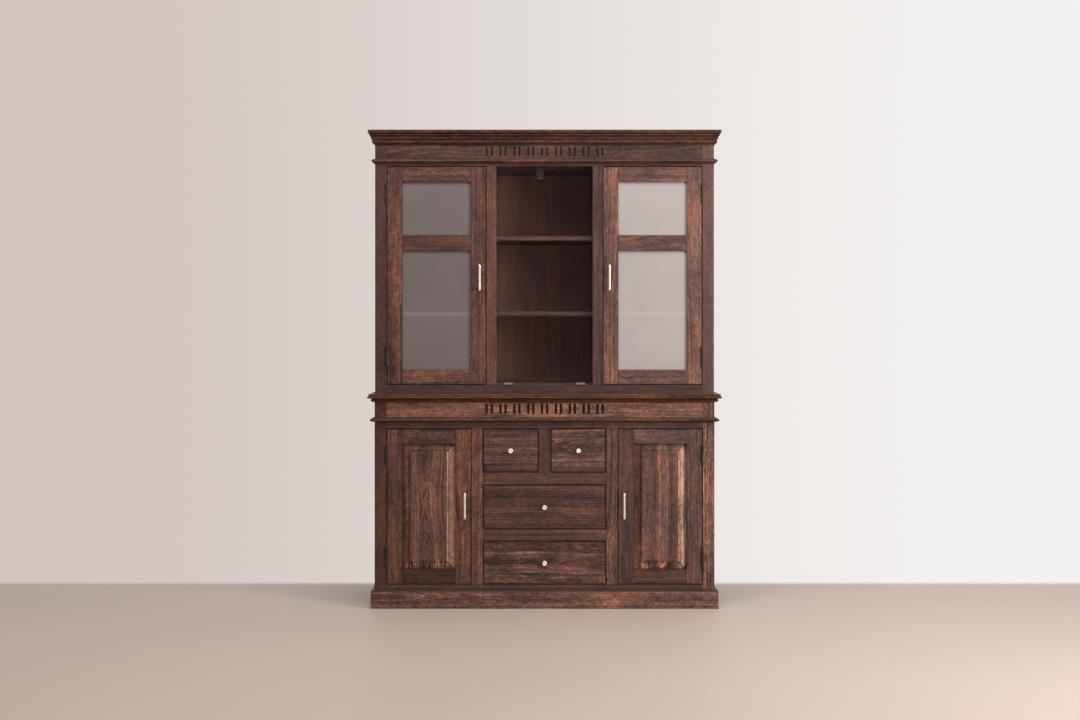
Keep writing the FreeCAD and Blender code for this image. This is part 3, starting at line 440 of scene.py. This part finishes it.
def wood_painted_shade_and_wear(n, colour, tones, grain, edge_dirt, mottle, ledge):
    """Painted shade darkens hollows, board edges and sides and the floors of slots, and a painted
    shadow line runs inside a panel's outline. Proud corners are lighter, partly a painted
    highlight and partly finish rubbed thin, and a ledge darkens towards the board's upper edge.
    """
    groove = n.split(n.attribute("groove"))[0]
    outline, shade, _ = n.split(n.attribute("outline"))
    halves = n.split(n.attribute("span"))
    gaps = [n.subtract(half, n.math("ABSOLUTE", at)) for half, at in zip(halves, grain)]
    smaller = n.math("MINIMUM", gaps[0], gaps[1])
    larger = n.math("MAXIMUM", gaps[0], gaps[1])
    from_edge = n.math("MAXIMUM", smaller, n.math("MINIMUM", larger, gaps[2]))
    dark = tuple(value * 0.45 for value in tones[0])
    # Painted shade along a board's edges beside the gaps, on its sides, on slot floors and in hollow
    # corners, all mixed towards the dark tone.
    edge_shading = n.multiply(n.smooth(from_edge, 3.4 * MM, 0.8 * MM), edge_dirt)
    hollow = n.smooth(groove, 0.25, 1.0, 0.0, 0.85)
    colour = n.mix(n.math("MAXIMUM", n.math("MAXIMUM", edge_shading, shade), hollow), colour, dark)
    # A painted shadow line inside a raised panel's outline, where the field meets the bevel.
    from_outline = n.math("ABSOLUTE", n.subtract(smaller, outline))
    line = n.multiply(n.smooth(from_outline, 3 * MM, 1 * MM), n.math("GREATER_THAN", outline, 1 * MM))
    colour = n.mix(n.multiply(line, 0.75), colour, dark)
    # Proud corners are lighter: partly a painted highlight, partly finish rubbed thin.
    proud = n.multiply(n.smooth(groove, -0.3, -1.0), n.smooth(mottle, -0.10, 0.12))
    colour = n.mix(n.multiply(proud, 0.12), colour, tones[4])
    if ledge:
        # Darker towards the board's upper edge.
        top_edge_band = n.smooth(n.subtract(halves[1], grain[1]), 8.5 * MM, 5 * MM)
        colour = n.mix(n.multiply(top_edge_band, 0.9), colour, dark)
    return colour


def wood_material(name, tones, figure=1.0, gloss=0.44, coat=0.05, shine=0.30, ledge=False,
                  contrast=0.68):
    """Figured hardwood under a satin lacquer, cut board by board from its own log: growth rings
    round a pith beside the board, swirls round knots, streaks, fibres, pores and sapwood. tones
    are six colours from the darkest streak to sapwood. A ledge darkens towards a board's upper
    edge, beside the joint behind it."""
    material, n = new_material(name)
    grain = n.split(n.attribute("grain"))
    along, across, through = grain
    seeds = n.split(n.attribute("seed"))
    log_offset, log_depth, log_tilt = n.split(n.attribute("log"))
    lightness, warmth, boldness = n.split(n.attribute("tone"))
    stave_width, edge_dirt, _ = n.split(n.attribute("strip"))
    pick, glued = wood_strips(n, across, stave_width, seeds)
    pick_x, pick_y, pick_z = n.split(pick)
    shift = n.vector("SCALE", pick, PLACE_SPREAD)

    def place(lengthwise, crosswise):
        scaled = n.join(n.multiply(along, lengthwise), n.multiply(across, crosswise),
                        n.multiply(through, crosswise))
        return n.vector("ADD", scaled, shift)

    def figured(lengthwise, crosswise, detail, roughness):
        return n.swing(place(lengthwise, crosswise), 1.0, detail, roughness)

    # The strip's place in its log, bent by slow noise along the grain.
    bend = n.noise(place(*BEND[:2]), 1.0, *BEND[2:], output="Color")
    bend_x, bend_y, _ = n.split(bend)
    log_across = n.add(n.subtract(across, log_offset),
                       n.multiply(n.subtract(pick_x, 0.5), 0.13, glued),
                       n.multiply(n.subtract(bend_x, 0.5), 0.040 * figure))
    log_through = n.add(through, log_depth, n.multiply(along, log_tilt), n.multiply(pick_y, 0.03, glued),
                        n.multiply(n.subtract(bend_y, 0.5), 0.034 * figure))

    # Knots are far apart, and push the rings round themselves.
    knot_place = n.vector("ADD", n.join(n.multiply(along, KNOTS_ALONG), n.multiply(across, KNOTS_ACROSS),
                                        n.multiply(pick_x, KNOT_SPREAD)), shift)
    knot_distance = n.nearest_point(knot_place)
    knot_pull = n.smooth(knot_distance, 0.36, 0.0)
    knot_core = n.smooth(knot_distance, 0.07, 0.025)
    radius = n.add(n.vector("LENGTH", n.join(log_across, log_through, 0.0)),
                   n.add(n.multiply(knot_pull, 0.020), n.multiply(figured(*RAGGED), 0.0055)),
                   n.multiply(n.add(seeds[0], pick_z), RADIUS_SPREAD))
    bands = n.swing(radius, 135.0, 2.0, 0.6, dimensions="1D")
    fine_bands = n.swing(radius, 290.0, 2.0, 0.6, dimensions="1D")
    broad_bands = n.swing(radius, 34.0, 1.0, 0.5, dimensions="1D")

    # Streaks, flecks, fibres and pores run along the grain, and clouds drift over it.
    fibres, clouds, mottle = figured(*FIBRES), figured(*CLOUDS), figured(*MOTTLE)
    pores = n.smooth(n.noise(place(*PORES[:2]), 1.0, *PORES[2:]), 0.60, 0.72)
    weights = [(bands, 0.75), (fine_bands, 0.65), (broad_bands, 0.50), (figured(*STREAKS), 0.50),
               (figured(*FLECKS), 1.15), (fibres, 0.40), (clouds, 0.95), (mottle, 0.55)]
    figure_level = n.add(*[n.multiply(part, weight) for part, weight in weights])
    strip_tone = n.multiply(n.subtract(pick_z, 0.5), 0.16, glued)
    level = n.add(n.multiply(figure_level, n.multiply(boldness, contrast)), MIDDLE_TONE,
                  n.add(lightness, strip_tone))
    colour = n.ramp(level, list(zip(TONE_STOPS, tones)))

    # Warm boards are redder, and so are some clouds on every board.
    red = n.add(warmth, n.multiply(clouds, 2.2), clamp=True)
    colour = n.mix(red, colour, n.mix(1.0, colour, REDDER, "MULTIPLY"))
    colour = n.mix(n.multiply(knot_core, 0.85), colour, tones[0])
    colour = n.mix(n.multiply(pores, 0.45), colour, tones[0])
    colour = wood_painted_shade_and_wear(n, colour, tones, grain, edge_dirt, mottle, ledge)

    height = n.subtract(n.add(n.multiply(bands, 0.35), n.multiply(fibres, 0.5)), n.multiply(pores, 0.9))
    roughness = n.add(gloss, n.add(n.multiply(clouds, 0.16), n.multiply(bands, -0.12)))
    n.surface(Base_Color=colour, Roughness=roughness, Normal=n.bump(height, 0.35, 0.25 * MM),
              Specular_IOR_Level=shine, Coat_Weight=coat, Coat_Roughness=0.30)
    return material


# Six tones for each finish, from the darkest streak to sapwood.
STAIN_TONES = ((0.014, 0.0070, 0.0069), (0.040, 0.0190, 0.0173), (0.088, 0.0440, 0.0380),
               (0.170, 0.0860, 0.0655), (0.300, 0.1520, 0.0990), (0.480, 0.2850, 0.1930))
MOULDING_TONES = ((0.010, 0.0042, 0.0030), (0.026, 0.0100, 0.0066), (0.058, 0.0235, 0.0150),
                  (0.110, 0.0440, 0.0260), (0.180, 0.0740, 0.0410), (0.260, 0.1150, 0.0660))
BACK_TONES = ((0.104, 0.0550, 0.0535), (0.144, 0.0770, 0.0740), (0.189, 0.1020, 0.0975),
              (0.224, 0.1220, 0.1160), (0.262, 0.1450, 0.1360), (0.300, 0.1700, 0.1560))
INSIDE_TONES = ((0.040, 0.0215, 0.0185), (0.060, 0.0325, 0.0275), (0.085, 0.0460, 0.0385),
                (0.112, 0.0610, 0.0500), (0.145, 0.0800, 0.0650), (0.180, 0.1010, 0.0820))
SHELF_TONES = ((0.016, 0.0080, 0.0074), (0.030, 0.0154, 0.0138), (0.050, 0.0260, 0.0228),
               (0.072, 0.0374, 0.0322), (0.098, 0.0516, 0.0436), (0.125, 0.0680, 0.0560))
DRAWER_TONES = ((0.060, 0.0280, 0.0160), (0.115, 0.0560, 0.0310), (0.190, 0.1000, 0.0560),
                (0.270, 0.1560, 0.0920), (0.350, 0.2150, 0.1300), (0.430, 0.2850, 0.1850))
DULL = dict(gloss=0.6, coat=0.0, shine=0.15)
STAINED = wood_material("stained_sheesham", STAIN_TONES)
PLINTH = wood_material("stained_plinth", STAIN_TONES, ledge=True)
MOULDED = wood_material("stained_mouldings", MOULDING_TONES, gloss=0.50, coat=0.0, shine=0.2)
BACKING = wood_material("back_boards", BACK_TONES, contrast=0.45, figure=0.6, **DULL)
PANELLING = wood_material("inside_boards", INSIDE_TONES, contrast=0.6, figure=0.6, **DULL)
SHELVING = wood_material("shelf_boards", SHELF_TONES, figure=0.7, **DULL)
DRAWER = wood_material("drawer_boards", DRAWER_TONES, gloss=0.62, coat=0.0, shine=0.25)


# Brush marks per metre, across and along the brushing, which is upright.
BRUSHED_ACROSS, BRUSHED_ALONG = 2600.0, 120.0


def metal_material(name, colour, roughness, brushed, spots, metallic=1.0):
    """Metal with fine brush marks, patchy polish and a few dull spots."""
    material, n = new_material(name)
    coordinates = n.coordinates()
    x, y, z = n.split(coordinates)
    brush = n.noise(n.join(n.multiply(x, BRUSHED_ACROSS), n.multiply(y, BRUSHED_ACROSS),
                           n.multiply(z, BRUSHED_ALONG)), 1.0, 1.0, 0.5)
    patches = n.noise(coordinates, 90.0, 3.0, 0.6)
    dull = n.smooth(n.noise(coordinates, 420.0, 1.0, 0.5), 0.66, 0.74)
    rough = n.add(roughness, n.multiply(n.subtract(brush, 0.5), brushed))
    rough = n.add(rough, n.multiply(n.subtract(patches, 0.5), 0.14))
    rough = n.add(rough, n.multiply(dull, 0.2), clamp=True)
    tint = n.mix(n.multiply(patches, 0.35), colour, tuple(value * 0.82 for value in colour))
    tint = n.mix(n.multiply(dull, 0.5), tint, spots)
    normal = n.bump(brush, 0.12, 0.00008)
    n.surface(Base_Color=tint, Metallic=metallic, Roughness=rough, Normal=normal)
    return material


def plastic_material(name, colour):
    """Moulded plastic with a fine spark texture and faint flow marks."""
    material, n = new_material(name)
    coordinates = n.coordinates()
    spark = n.noise(coordinates, 1900.0, 2.0, 0.6)
    flow = n.noise(coordinates, 45.0, 2.0, 0.5)
    tint = n.mix(flow, tuple(value * 0.85 for value in colour), tuple(value * 1.15 for value in colour))
    rough = n.add(0.5, n.multiply(n.subtract(flow, 0.5), 0.15))
    n.surface(Base_Color=tint, Roughness=rough, Specular_IOR_Level=0.15,
              Normal=n.bump(spark, 0.25, 0.00006))
    return material


def lit_through(n, shader, tint):
    """Let lamps shine through a glass shader, so that what is behind it isn't black."""
    clear = n.tree.nodes.new("ShaderNodeBsdfTransparent")
    clear.inputs["Color"].default_value = (*tint, 1.0)
    path = n.tree.nodes.new("ShaderNodeLightPath")
    n.blend(path.outputs["Is Shadow Ray"], shader, clear)


# Height of the painted band that stands for a shelf's front edge behind the frosted panes.
PAINTED_SHELF_BAND_Z = 1.231


def frosted_material(name, shade, band):
    """Satin-etched glass with faint cloudy marks, and a painted band, band times as light as the
    glass, where the front edge of the shelf behind it would show through."""
    material, n = new_material(name)
    coordinates = n.coordinates()
    etch = n.noise(coordinates, 2400.0, 2.0, 0.6)
    cloud = n.noise(coordinates, 7.0, 3.0, 0.5)
    tint = n.mix(cloud, tuple(value * 0.93 for value in shade), tuple(value * 1.07 for value in shade))
    height = n.split(coordinates)[2]
    # A painted lighter band where the shelf's edge behind the glass would show through.
    shelf = n.smooth(n.math("ABSOLUTE", n.subtract(height, PAINTED_SHELF_BAND_Z)), 0.0095, 0.0050)
    tint = n.mix(n.multiply(shelf, 0.8), tint, tuple(value * band for value in shade))
    rough = n.add(0.42, n.multiply(cloud, 0.10))
    shader = n.surface(Base_Color=tint, Roughness=rough, Transmission_Weight=0.42, IOR=1.45,
                       Normal=n.bump(etch, 0.2, 0.00005))
    lit_through(n, shader, (0.55, 0.54, 0.53))
    return material


def clear_material():
    """Clear glass with a faint green body and a breath of dust."""
    material, n = new_material("clear_glass")
    coordinates = n.coordinates()
    dust = n.noise(coordinates, 34.0, 4.0, 0.65)
    rough = n.smooth(dust, 0.55, 0.8, 0.0, 0.05)
    tint = n.mix(dust, (0.985, 0.995, 0.99), (0.965, 0.985, 0.975))
    shader = n.surface(Base_Color=tint, Roughness=rough, Transmission_Weight=1.0, IOR=1.3)
    lit_through(n, shader, (0.92, 0.92, 0.92))
    return material


NICKEL = metal_material("satin_nickel", (0.88, 0.82, 0.74), 0.34, 0.16, metallic=0.7,
                        spots=(0.6, 0.54, 0.47))
CHROME = metal_material("satin_chrome", (0.17, 0.155, 0.15), 0.42, 0.10, metallic=0.6,
                        spots=(0.2, 0.2, 0.2))
IRON = metal_material("black_iron", (0.012, 0.010, 0.009), 0.45, 0.2, metallic=0.3,
                      spots=(0.05, 0.035, 0.025))
ZINC = metal_material("peg_zinc", (0.28, 0.26, 0.25), 0.42, 0.12, spots=(0.2, 0.18, 0.16))
DARK_PLASTIC = plastic_material("dark_plastic", (0.010, 0.006, 0.005))
BROWN_PLASTIC = plastic_material("brown_plastic", (0.013, 0.0065, 0.006))
# One glass in two painted copies: the left panes darker, as if in shade, and the right panes lighter, as
# if lit from the right.
FROSTED_SHADED_LEFT = frosted_material("frosted_glass_shaded_left", (0.180, 0.147, 0.145), 1.36)
FROSTED_LIT_RIGHT = frosted_material("frosted_glass_lit_right", (0.430, 0.388, 0.380), 1.12)
CLEAR = clear_material()


def dress(piece, material):
    piece.data.materials.clear()
    piece.data.materials.append(material)
    return piece


# ---- the wooden pieces ----

UPRIGHT = 2
STAVE = 0.075
BACK_STAVE = 0.14
PANEL_STEP = 0.035


def look(lightness, warmth, boldness, offset=None, depth=0.05, tilt=0.0, **more):
    """One board's look: how light, how red and how boldly figured it is, and its log."""
    values = dict(tone=(lightness, warmth, boldness), **more)
    if offset is not None:
        values["log"] = (offset, depth, tilt)
    return values


# What each board looks like, by its number within its node, or by the way its face leans. On
# the raised panels the leaning regions are painted light and shade: the bevel facing right is
# lighter, as if lit from the right, and the left and bottom bevels are darker and redder.
LOOKS = {
    "hutch_side_frames": {0: look(-0.10, 0.3, 0.45, 0.05, 0.05), 4: look(0.03, 0.0, 0.5, -0.05, 0.06)},
    "base_side_frames": {0: look(-0.12, 0.8, 0.5, 0.04, 0.06), 4: look(0.12, 0.5, 1.3, 0.03, 0.03, 0.03)},
    "hutch_face_rails": {0: look(-0.09, 0.1, 0.45, 0.06, 0.07), 1: look(-0.12, 0.2, 0.5, -0.06, 0.06)},
    "hutch_face_stiles": {0: look(0.04, 0.75, 0.6, 0.06, 0.08), 1: look(-0.03, 0.0, 0.6, 0.05, 0.07)},
    "base_face_rails": {0: look(-0.06, 0.4, 0.6, 0.05, 0.05), 1: look(-0.09, 0.3, 0.6, 0.05, 0.06),
                        2: look(-0.01, 0.5, 0.7, -0.05, 0.06), 3: look(-0.03, 0.5, 0.7, 0.05, 0.05)},
    "base_face_stiles": {0: look(0.07, 0.7, 0.9, 0.05, 0.05), 1: look(0.0, 0.4, 1.0, -0.05, 0.05),
                         2: look(-0.06, 0.3, 0.6, 0.06, 0.06)},
    "hutch_frieze": {0: look(-0.13, 0.4, 0.8, 0.03, 0.06, 0.02)},
    "base_frieze": {0: look(0.19, 0.5, 1.1, 0.01, 0.03, 0.01)},
    "glass_door_left_frame": {0: look(0.01, 0.8, 0.95, 0.045, 0.04, 0.05),
                              1: look(0.0, 0.6, 0.8, 0.06, 0.05, -0.03),
                              2: look(0.02, 0.7, 0.95, 0.03, 0.04), 3: look(-0.06, 0.5, 0.6, 0.05, 0.06),
                              4: look(0.0, 0.8, 0.9, 0.02, 0.05)},
    "glass_door_right_frame": {0: look(0.07, 0.35, 0.9, 0.05, 0.05, 0.04),
                               1: look(0.12, 0.35, 0.9, -0.05, 0.05, 0.03),
                               2: look(0.09, 0.3, 0.8, 0.04, 0.05), 3: look(0.04, 0.3, 0.8, 0.05, 0.05),
                               4: look(0.05, 0.4, 0.8, -0.04, 0.05)},
    "lower_door_left_frame": {0: look(-0.04, 0.8, 0.9, 0.05, 0.04, 0.04),
                              1: look(0.05, 0.9, 1.0, 0.06, 0.05),
                              2: look(-0.15, 0.9, 0.7, 0.04, 0.05), 3: look(-0.07, 0.5, 1.1, 0.0, 0.02)},
    "lower_door_right_frame": {0: look(-0.04, 0.2, 0.8, 0.05, 0.05), 1: look(0.01, 0.3, 0.9, -0.05, 0.04),
                               2: look(-0.15, 0.4, 0.9, 0.03, 0.05), 3: look(0.07, 0.1, 0.8, 0.04, 0.06)},
    # The panels' left, right, top and bottom looks are painted light and shade on the bevels.
    "lower_door_left_panel": {"all": look(0.03, 0.5, 0.95, -0.01, 0.022, 0.02, stave=WHOLE),
                              "left": look(-0.03, 1.3, 1.0, stave=WHOLE),
                              "right": look(0.40, -0.4, 1.0, stave=WHOLE),
                              "top": look(0.02, 0.4, 0.9, stave=WHOLE),
                              "bottom": look(-0.04, 1.3, 2.2, stave=WHOLE)},
    "lower_door_right_panel": {"all": look(0.05, 0.4, 0.9, 0.012, 0.02, -0.015, stave=WHOLE),
                               "left": look(-0.03, 1.4, 0.9, stave=WHOLE),
                               "right": look(0.34, -0.1, 1.5, stave=WHOLE),
                               "top": look(0.05, 0.3, 1.0, stave=WHOLE),
                               "bottom": look(-0.10, 1.3, 2.2, stave=WHOLE)},
    "small_drawer_left_front": {"all": look(-0.04, 0.3, 0.95, -0.02, 0.03, stave=0.105)},
    "small_drawer_right_front": {"all": look(0.05, 0.2, 1.05, -0.02, 0.03, stave=0.105)},
    "middle_drawer_front": {"all": look(-0.11, 0.5, 0.8, -0.035, 0.03, 0.01)},
    "bottom_drawer_front": {"all": look(-0.01, 0.4, 1.2, 0.03, 0.03, stave=0.095)},
    "plinth": {"all": look(0.10, 0.5, 1.2, 0.01, 0.03, 0.01)},
    "cornice": {"all": look(-0.04, 0.5, 0.7)},
    "bead_mouldings": {"all": look(0.0, 0.6, 0.7)},
    "waist_board": {"all": look(0.06, 0.8, 0.8)},
}

def build_boards(nodes, material, slot="stained_wood", **make):
    """Build the boards of some nodes alike."""
    for node in nodes:
        piece = wood_piece(node + "_wood", node, body_of(node), looks=LOOKS.get(node, {}), **make)
        dress(piece, material)


build_boards(["base_side_frames"], STAINED, ease=1.2 * MM, edge_dirt=0.25)
build_boards(["hutch_side_frames"], STAINED, ease=1.2 * MM, edge_dirt=0.15)
build_boards(["side_panels"], STAINED, along=UPRIGHT, stave=STAVE)
build_boards(["base_face_rails", "base_face_stiles"], STAINED, edge_dirt=0.3, side_dirt=0.7)
build_boards(["hutch_face_rails", "hutch_face_stiles"], STAINED, edge_dirt=0.15, side_dirt=0.7)
build_boards(["base_frieze", "hutch_frieze"], STAINED, ease=0.5 * MM, edge_dirt=0.3, carved=True)
build_boards(["glass_door_left_frame", "glass_door_right_frame", "lower_door_left_frame",
              "lower_door_right_frame"], STAINED, edge_dirt=0.55, side_dirt=0.8)
build_boards(["lower_door_left_panel", "lower_door_right_panel"], STAINED, ease=0.4 * MM,
             outline=PANEL_STEP)
build_boards(["small_drawer_left_front", "small_drawer_right_front", "middle_drawer_front",
              "bottom_drawer_front"], STAINED, edge_dirt=0.8, side_dirt=0.8)
build_boards(["top_board"], STAINED, stave=STAVE)
build_boards(["bead_mouldings", "cornice", "waist_board"], MOULDED, ease=0, edge_dirt=0.0)
build_boards(["plinth"], PLINTH, edge_dirt=0.2)
build_boards(["base_back", "hutch_back"], BACKING, along=UPRIGHT, stave=BACK_STAVE)
build_boards(["base_floor", "base_partitions", "hutch_partitions", "hutch_floor_and_ceiling"], PANELLING,
             stave=STAVE)
build_boards(["base_shelves", "hutch_shelves"], SHELVING, stave=STAVE)
build_boards(["small_drawer_left_box", "small_drawer_right_box", "middle_drawer_box", "bottom_drawer_box",
              "drawer_runners"], DRAWER, "drawer_wood")


# ---- pulls and knobs ----

def stacked(rings):
    """The vertices and faces of a closed skin over rings of equally many points."""
    count = len(rings[0])
    vertices = [point for ring in rings for point in ring]
    faces = []
    for level in range(len(rings) - 1):
        for index in range(count):
            following = (index + 1) % count
            low, high = level * count, (level + 1) * count
            faces.append((low + index, low + following, high + following, high + index))
    faces.append(tuple(reversed(range(count))))
    faces.append(tuple(range((len(rings) - 1) * count, len(rings) * count)))
    return vertices, faces


def joined(parts):
    """Several skins as one."""
    vertices, faces = [], []
    for part_vertices, part_faces in parts:
        base = len(vertices)
        vertices.extend(part_vertices)
        faces.extend(tuple(index + base for index in face) for face in part_faces)
    return vertices, faces


def lathe(profile, middle_x, middle_z, face_y, segments=48):
    """Turn a profile of (radius, distance in front of the face) about an axis along Y."""
    rings = []
    for radius, proud in profile:
        rings.append([(middle_x + radius * math.cos(2 * math.pi * step / segments), face_y - proud,
                       middle_z + radius * math.sin(2 * math.pi * step / segments))
                      for step in range(segments)])
    return stacked(rings)


def curve_through(points, steps=5):
    """Points on a smooth curve through the given ones."""
    result = []
    for index in range(len(points) - 1):
        before = points[max(index - 1, 0)]
        start, end = points[index], points[index + 1]
        after = points[min(index + 2, len(points) - 1)]
        for step in range(steps):
            t = step / steps
            result.append(tuple(
                0.5 * (2 * b + (c - a) * t + (2 * a - 5 * b + 4 * c - d) * t * t
                       + (3 * b - a - 3 * c + d) * t ** 3)
                for a, b, c, d in zip(before, start, end, after)))
    result.append(points[-1])
    return result


BAR_THICKNESS = 7 * MM
BAR_SIDES, BAR_LEVELS = 28, 40
# The powers set how square the bar's section is and how short its rounded ends are. The very ends
# are this part of the bar's full thickness.
BAR_SQUARENESS = 0.55
BAR_END_POWER = 22
BAR_END_THINNEST = 0.35
LEG_PLACE = 44 * MM


def bar_pull(node):
    """A slim bar with a softly crowned face and rounded ends, on two round legs with collars."""
    low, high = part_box(node)
    middle_x, middle_z = (low.x + high.x) / 2, (low.z + high.z) / 2
    half_width, half_length = (high.x - low.x) / 2, (high.z - low.z) / 2
    thickness = BAR_THICKNESS
    front, back = low.y, low.y + thickness
    rings = []
    for level in range(BAR_LEVELS + 1):
        along = -math.cos(math.pi * level / BAR_LEVELS)
        shrink = max(1 - abs(along) ** BAR_END_POWER, 0.0) ** 0.5
        shrink = BAR_END_THINNEST + (1 - BAR_END_THINNEST) * shrink
        ring = []
        for step in range(BAR_SIDES):
            angle = 2 * math.pi * step / BAR_SIDES
            across = math.copysign(abs(math.cos(angle)) ** BAR_SQUARENESS, math.cos(angle))
            deep = math.copysign(abs(math.sin(angle)) ** BAR_SQUARENESS, math.sin(angle))
            ring.append((middle_x + across * half_width * shrink,
                         (front + back) / 2 + deep * thickness / 2 * shrink,
                         middle_z + along * half_length))
        rings.append(ring)
    parts = [stacked(rings)]
    reach = high.y - back
    for side in (-1, 1):
        profile = curve_through([(4.6 * MM, 0.0), (4.6 * MM, 0.8 * MM), (3.7 * MM, 1.8 * MM),
                                 (3.4 * MM, 6 * MM), (3.4 * MM, reach - 3 * MM),
                                 (3.8 * MM, reach + 1 * MM)])
        parts.append(lathe(profile, middle_x, middle_z + side * LEG_PLACE, high.y, 32))
    vertices, faces = joined(parts)
    return mesh_piece(node + "_pull", vertices, faces, body_of(node), [node], 50)


def drawer_knob(node):
    """A turned knob: a foot, a slim neck, and a round head with a ring and a shallow dimple."""
    low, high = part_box(node)
    middle_x, middle_z = (low.x + high.x) / 2, (low.z + high.z) / 2
    head = (high.x - low.x) / 2
    length = high.y - low.y
    outer = [(7.5 * MM, 0.0), (7.5 * MM, 1.2 * MM), (6.6 * MM, 2.2 * MM), (5.2 * MM, 4.6 * MM),
             (5.0 * MM, 8 * MM), (5.4 * MM, 11.5 * MM), (7.2 * MM, 15.5 * MM),
             (head - 0.5 * MM, length - 7 * MM), (head, length - 4.8 * MM),
             (head - 0.3 * MM, length - 2.8 * MM), (head - 1.4 * MM, length - 0.9 * MM),
             (head - 2.8 * MM, length), (head - 3.9 * MM, length - 0.4 * MM),
             (head - 4.6 * MM, length - 1.3 * MM), (head - 5.4 * MM, length - 1.2 * MM),
             (2.2 * MM, length - 1.7 * MM), (0.3 * MM, length - 1.9 * MM)]
    vertices, faces = lathe(curve_through(outer), middle_x, middle_z, high.y)
    return mesh_piece(node + "_turned", vertices, faces, body_of(node), [node], 50)


for node in ("glass_door_left_handle", "glass_door_right_handle", "lower_door_left_handle",
             "lower_door_right_handle"):
    dress(bar_pull(node), NICKEL)
for node in ("small_drawer_left_knob", "small_drawer_right_knob", "middle_drawer_knob",
             "bottom_drawer_knob"):
    dress(drawer_knob(node), NICKEL)


# ---- glass, hinges and other CAD shapes that only need a finish ----

for node, material in [("glass_door_left_panes", FROSTED_SHADED_LEFT), ("glass_door_right_panes", FROSTED_LIT_RIGHT),
                       ("glass_flap_pane", CLEAR), ("glass_flap_clamps", CHROME),
                       ("glass_flap_brackets", CHROME), ("hinge_post_leaves", IRON),
                       ("hinge_pins", IRON), ("glass_door_left_hinge_leaves", IRON),
                       ("glass_door_right_hinge_leaves", IRON), ("lower_door_left_hinge_leaves", IRON),
                       ("lower_door_right_hinge_leaves", IRON), ("shelf_pegs", ZINC),
                       ("door_catches", DARK_PLASTIC), ("latch_housing", DARK_PLASTIC),
                       ("latch_plunger", BROWN_PLASTIC)]:
    cad = frame["nodes"][node]
    cad.data.materials.clear()
    cad.data.materials.append(material)


# ---- floor, light and camera ----

# How far behind the object the floor starts and ends to fade.
FLOOR_FADE = (0.31, 0.42)


def floor_material():
    """Pale floor with a faint unevenness, which fades out behind the object like a studio sweep."""
    material, n = new_material("pale_floor")
    coordinates = n.coordinates()
    x, y, _ = n.split(coordinates)
    cloud = n.noise(coordinates, 0.9, 3.0, 0.5)
    tint = n.mix(cloud, (0.375, 0.310, 0.270), (0.415, 0.345, 0.300))
    shader = n.surface(Base_Color=tint, Roughness=0.55, Specular_IOR_Level=0.3)
    clear = n.tree.nodes.new("ShaderNodeBsdfTransparent")
    n.blend(n.smooth(y, *FLOOR_FADE), shader, clear)
    return material


def studio_world():
    """A soft pale surround behind the object, brightest on the right, and a dim room in front of
    it under a pale ceiling."""
    world = bpy.data.worlds.new("studio")
    n = Nodes(world)
    background = n.tree.nodes["Background"]
    direction = n.tree.nodes.new("ShaderNodeTexCoord").outputs["Generated"]
    x, y, z = n.split(direction)
    behind = n.mix(n.smooth(x, -0.34, 0.34), (0.64, 0.565, 0.53), (0.90, 0.88, 0.87))
    front = n.mix(n.smooth(z, 0.05, 0.65), (0.10, 0.092, 0.088), (0.62, 0.60, 0.58))
    front = n.mix(n.smooth(z, -0.02, -0.12), front, (0.50, 0.425, 0.37))
    colour = n.mix(n.smooth(y, -0.1, 0.45), front, behind)
    n.link(colour, background.inputs["Color"])
    bpy.context.scene.world = world


def stage():
    """A square floor, far larger than the object."""
    size = 14.0
    mesh = bpy.data.meshes.new("floor")
    mesh.from_pydata([(-size, -size, 0), (size, -size, 0), (size, size, 0), (-size, size, 0)], [],
                     [(0, 1, 2, 3)])
    mesh.materials.append(floor_material())
    floor = bpy.data.objects.new("floor", mesh)
    bpy.context.scene.collection.objects.link(floor)


def softbox(name, place, target, size, power, colour):
    """A rectangular lamp that faces the target."""
    light = bpy.data.lights.new(name, "AREA")
    light.shape = "RECTANGLE"
    light.size, light.size_y = size
    light.energy = power
    light.color = colour
    lamp = bpy.data.objects.new(name, light)
    lamp.location = place
    lamp.rotation_euler = (Vector(target) - Vector(place)).to_track_quat("-Z", "Y").to_euler()
    bpy.context.scene.collection.objects.link(lamp)


studio_world()
stage()
CENTRE = (0, 0, 1.05)
softbox("window", (3.4, -2.9, 1.9), CENTRE, (2.0, 2.4), 200, (1.0, 0.985, 0.96))
softbox("overhead", (-0.3, -2.2, 4.2), CENTRE, (3.0, 1.6), 120, (1.0, 0.99, 0.97))


def camera():
    """Level, 1.2 m above the floor in front of the cabinet, and a hair left of its middle. The
    shift shows more of the floor while the camera stays level."""
    data = bpy.data.cameras.new("camera")
    data.sensor_width = 36.0
    data.lens = 47.80
    data.shift_y = -0.0374
    eye = bpy.data.objects.new("camera", data)
    eye.location = (-0.019, -6.196, 1.207)
    eye.rotation_euler = (math.radians(90), 0, 0)
    bpy.context.scene.collection.objects.link(eye)
    bpy.context.scene.camera = eye


camera()
bpy.context.scene.view_settings.view_transform = "Standard"
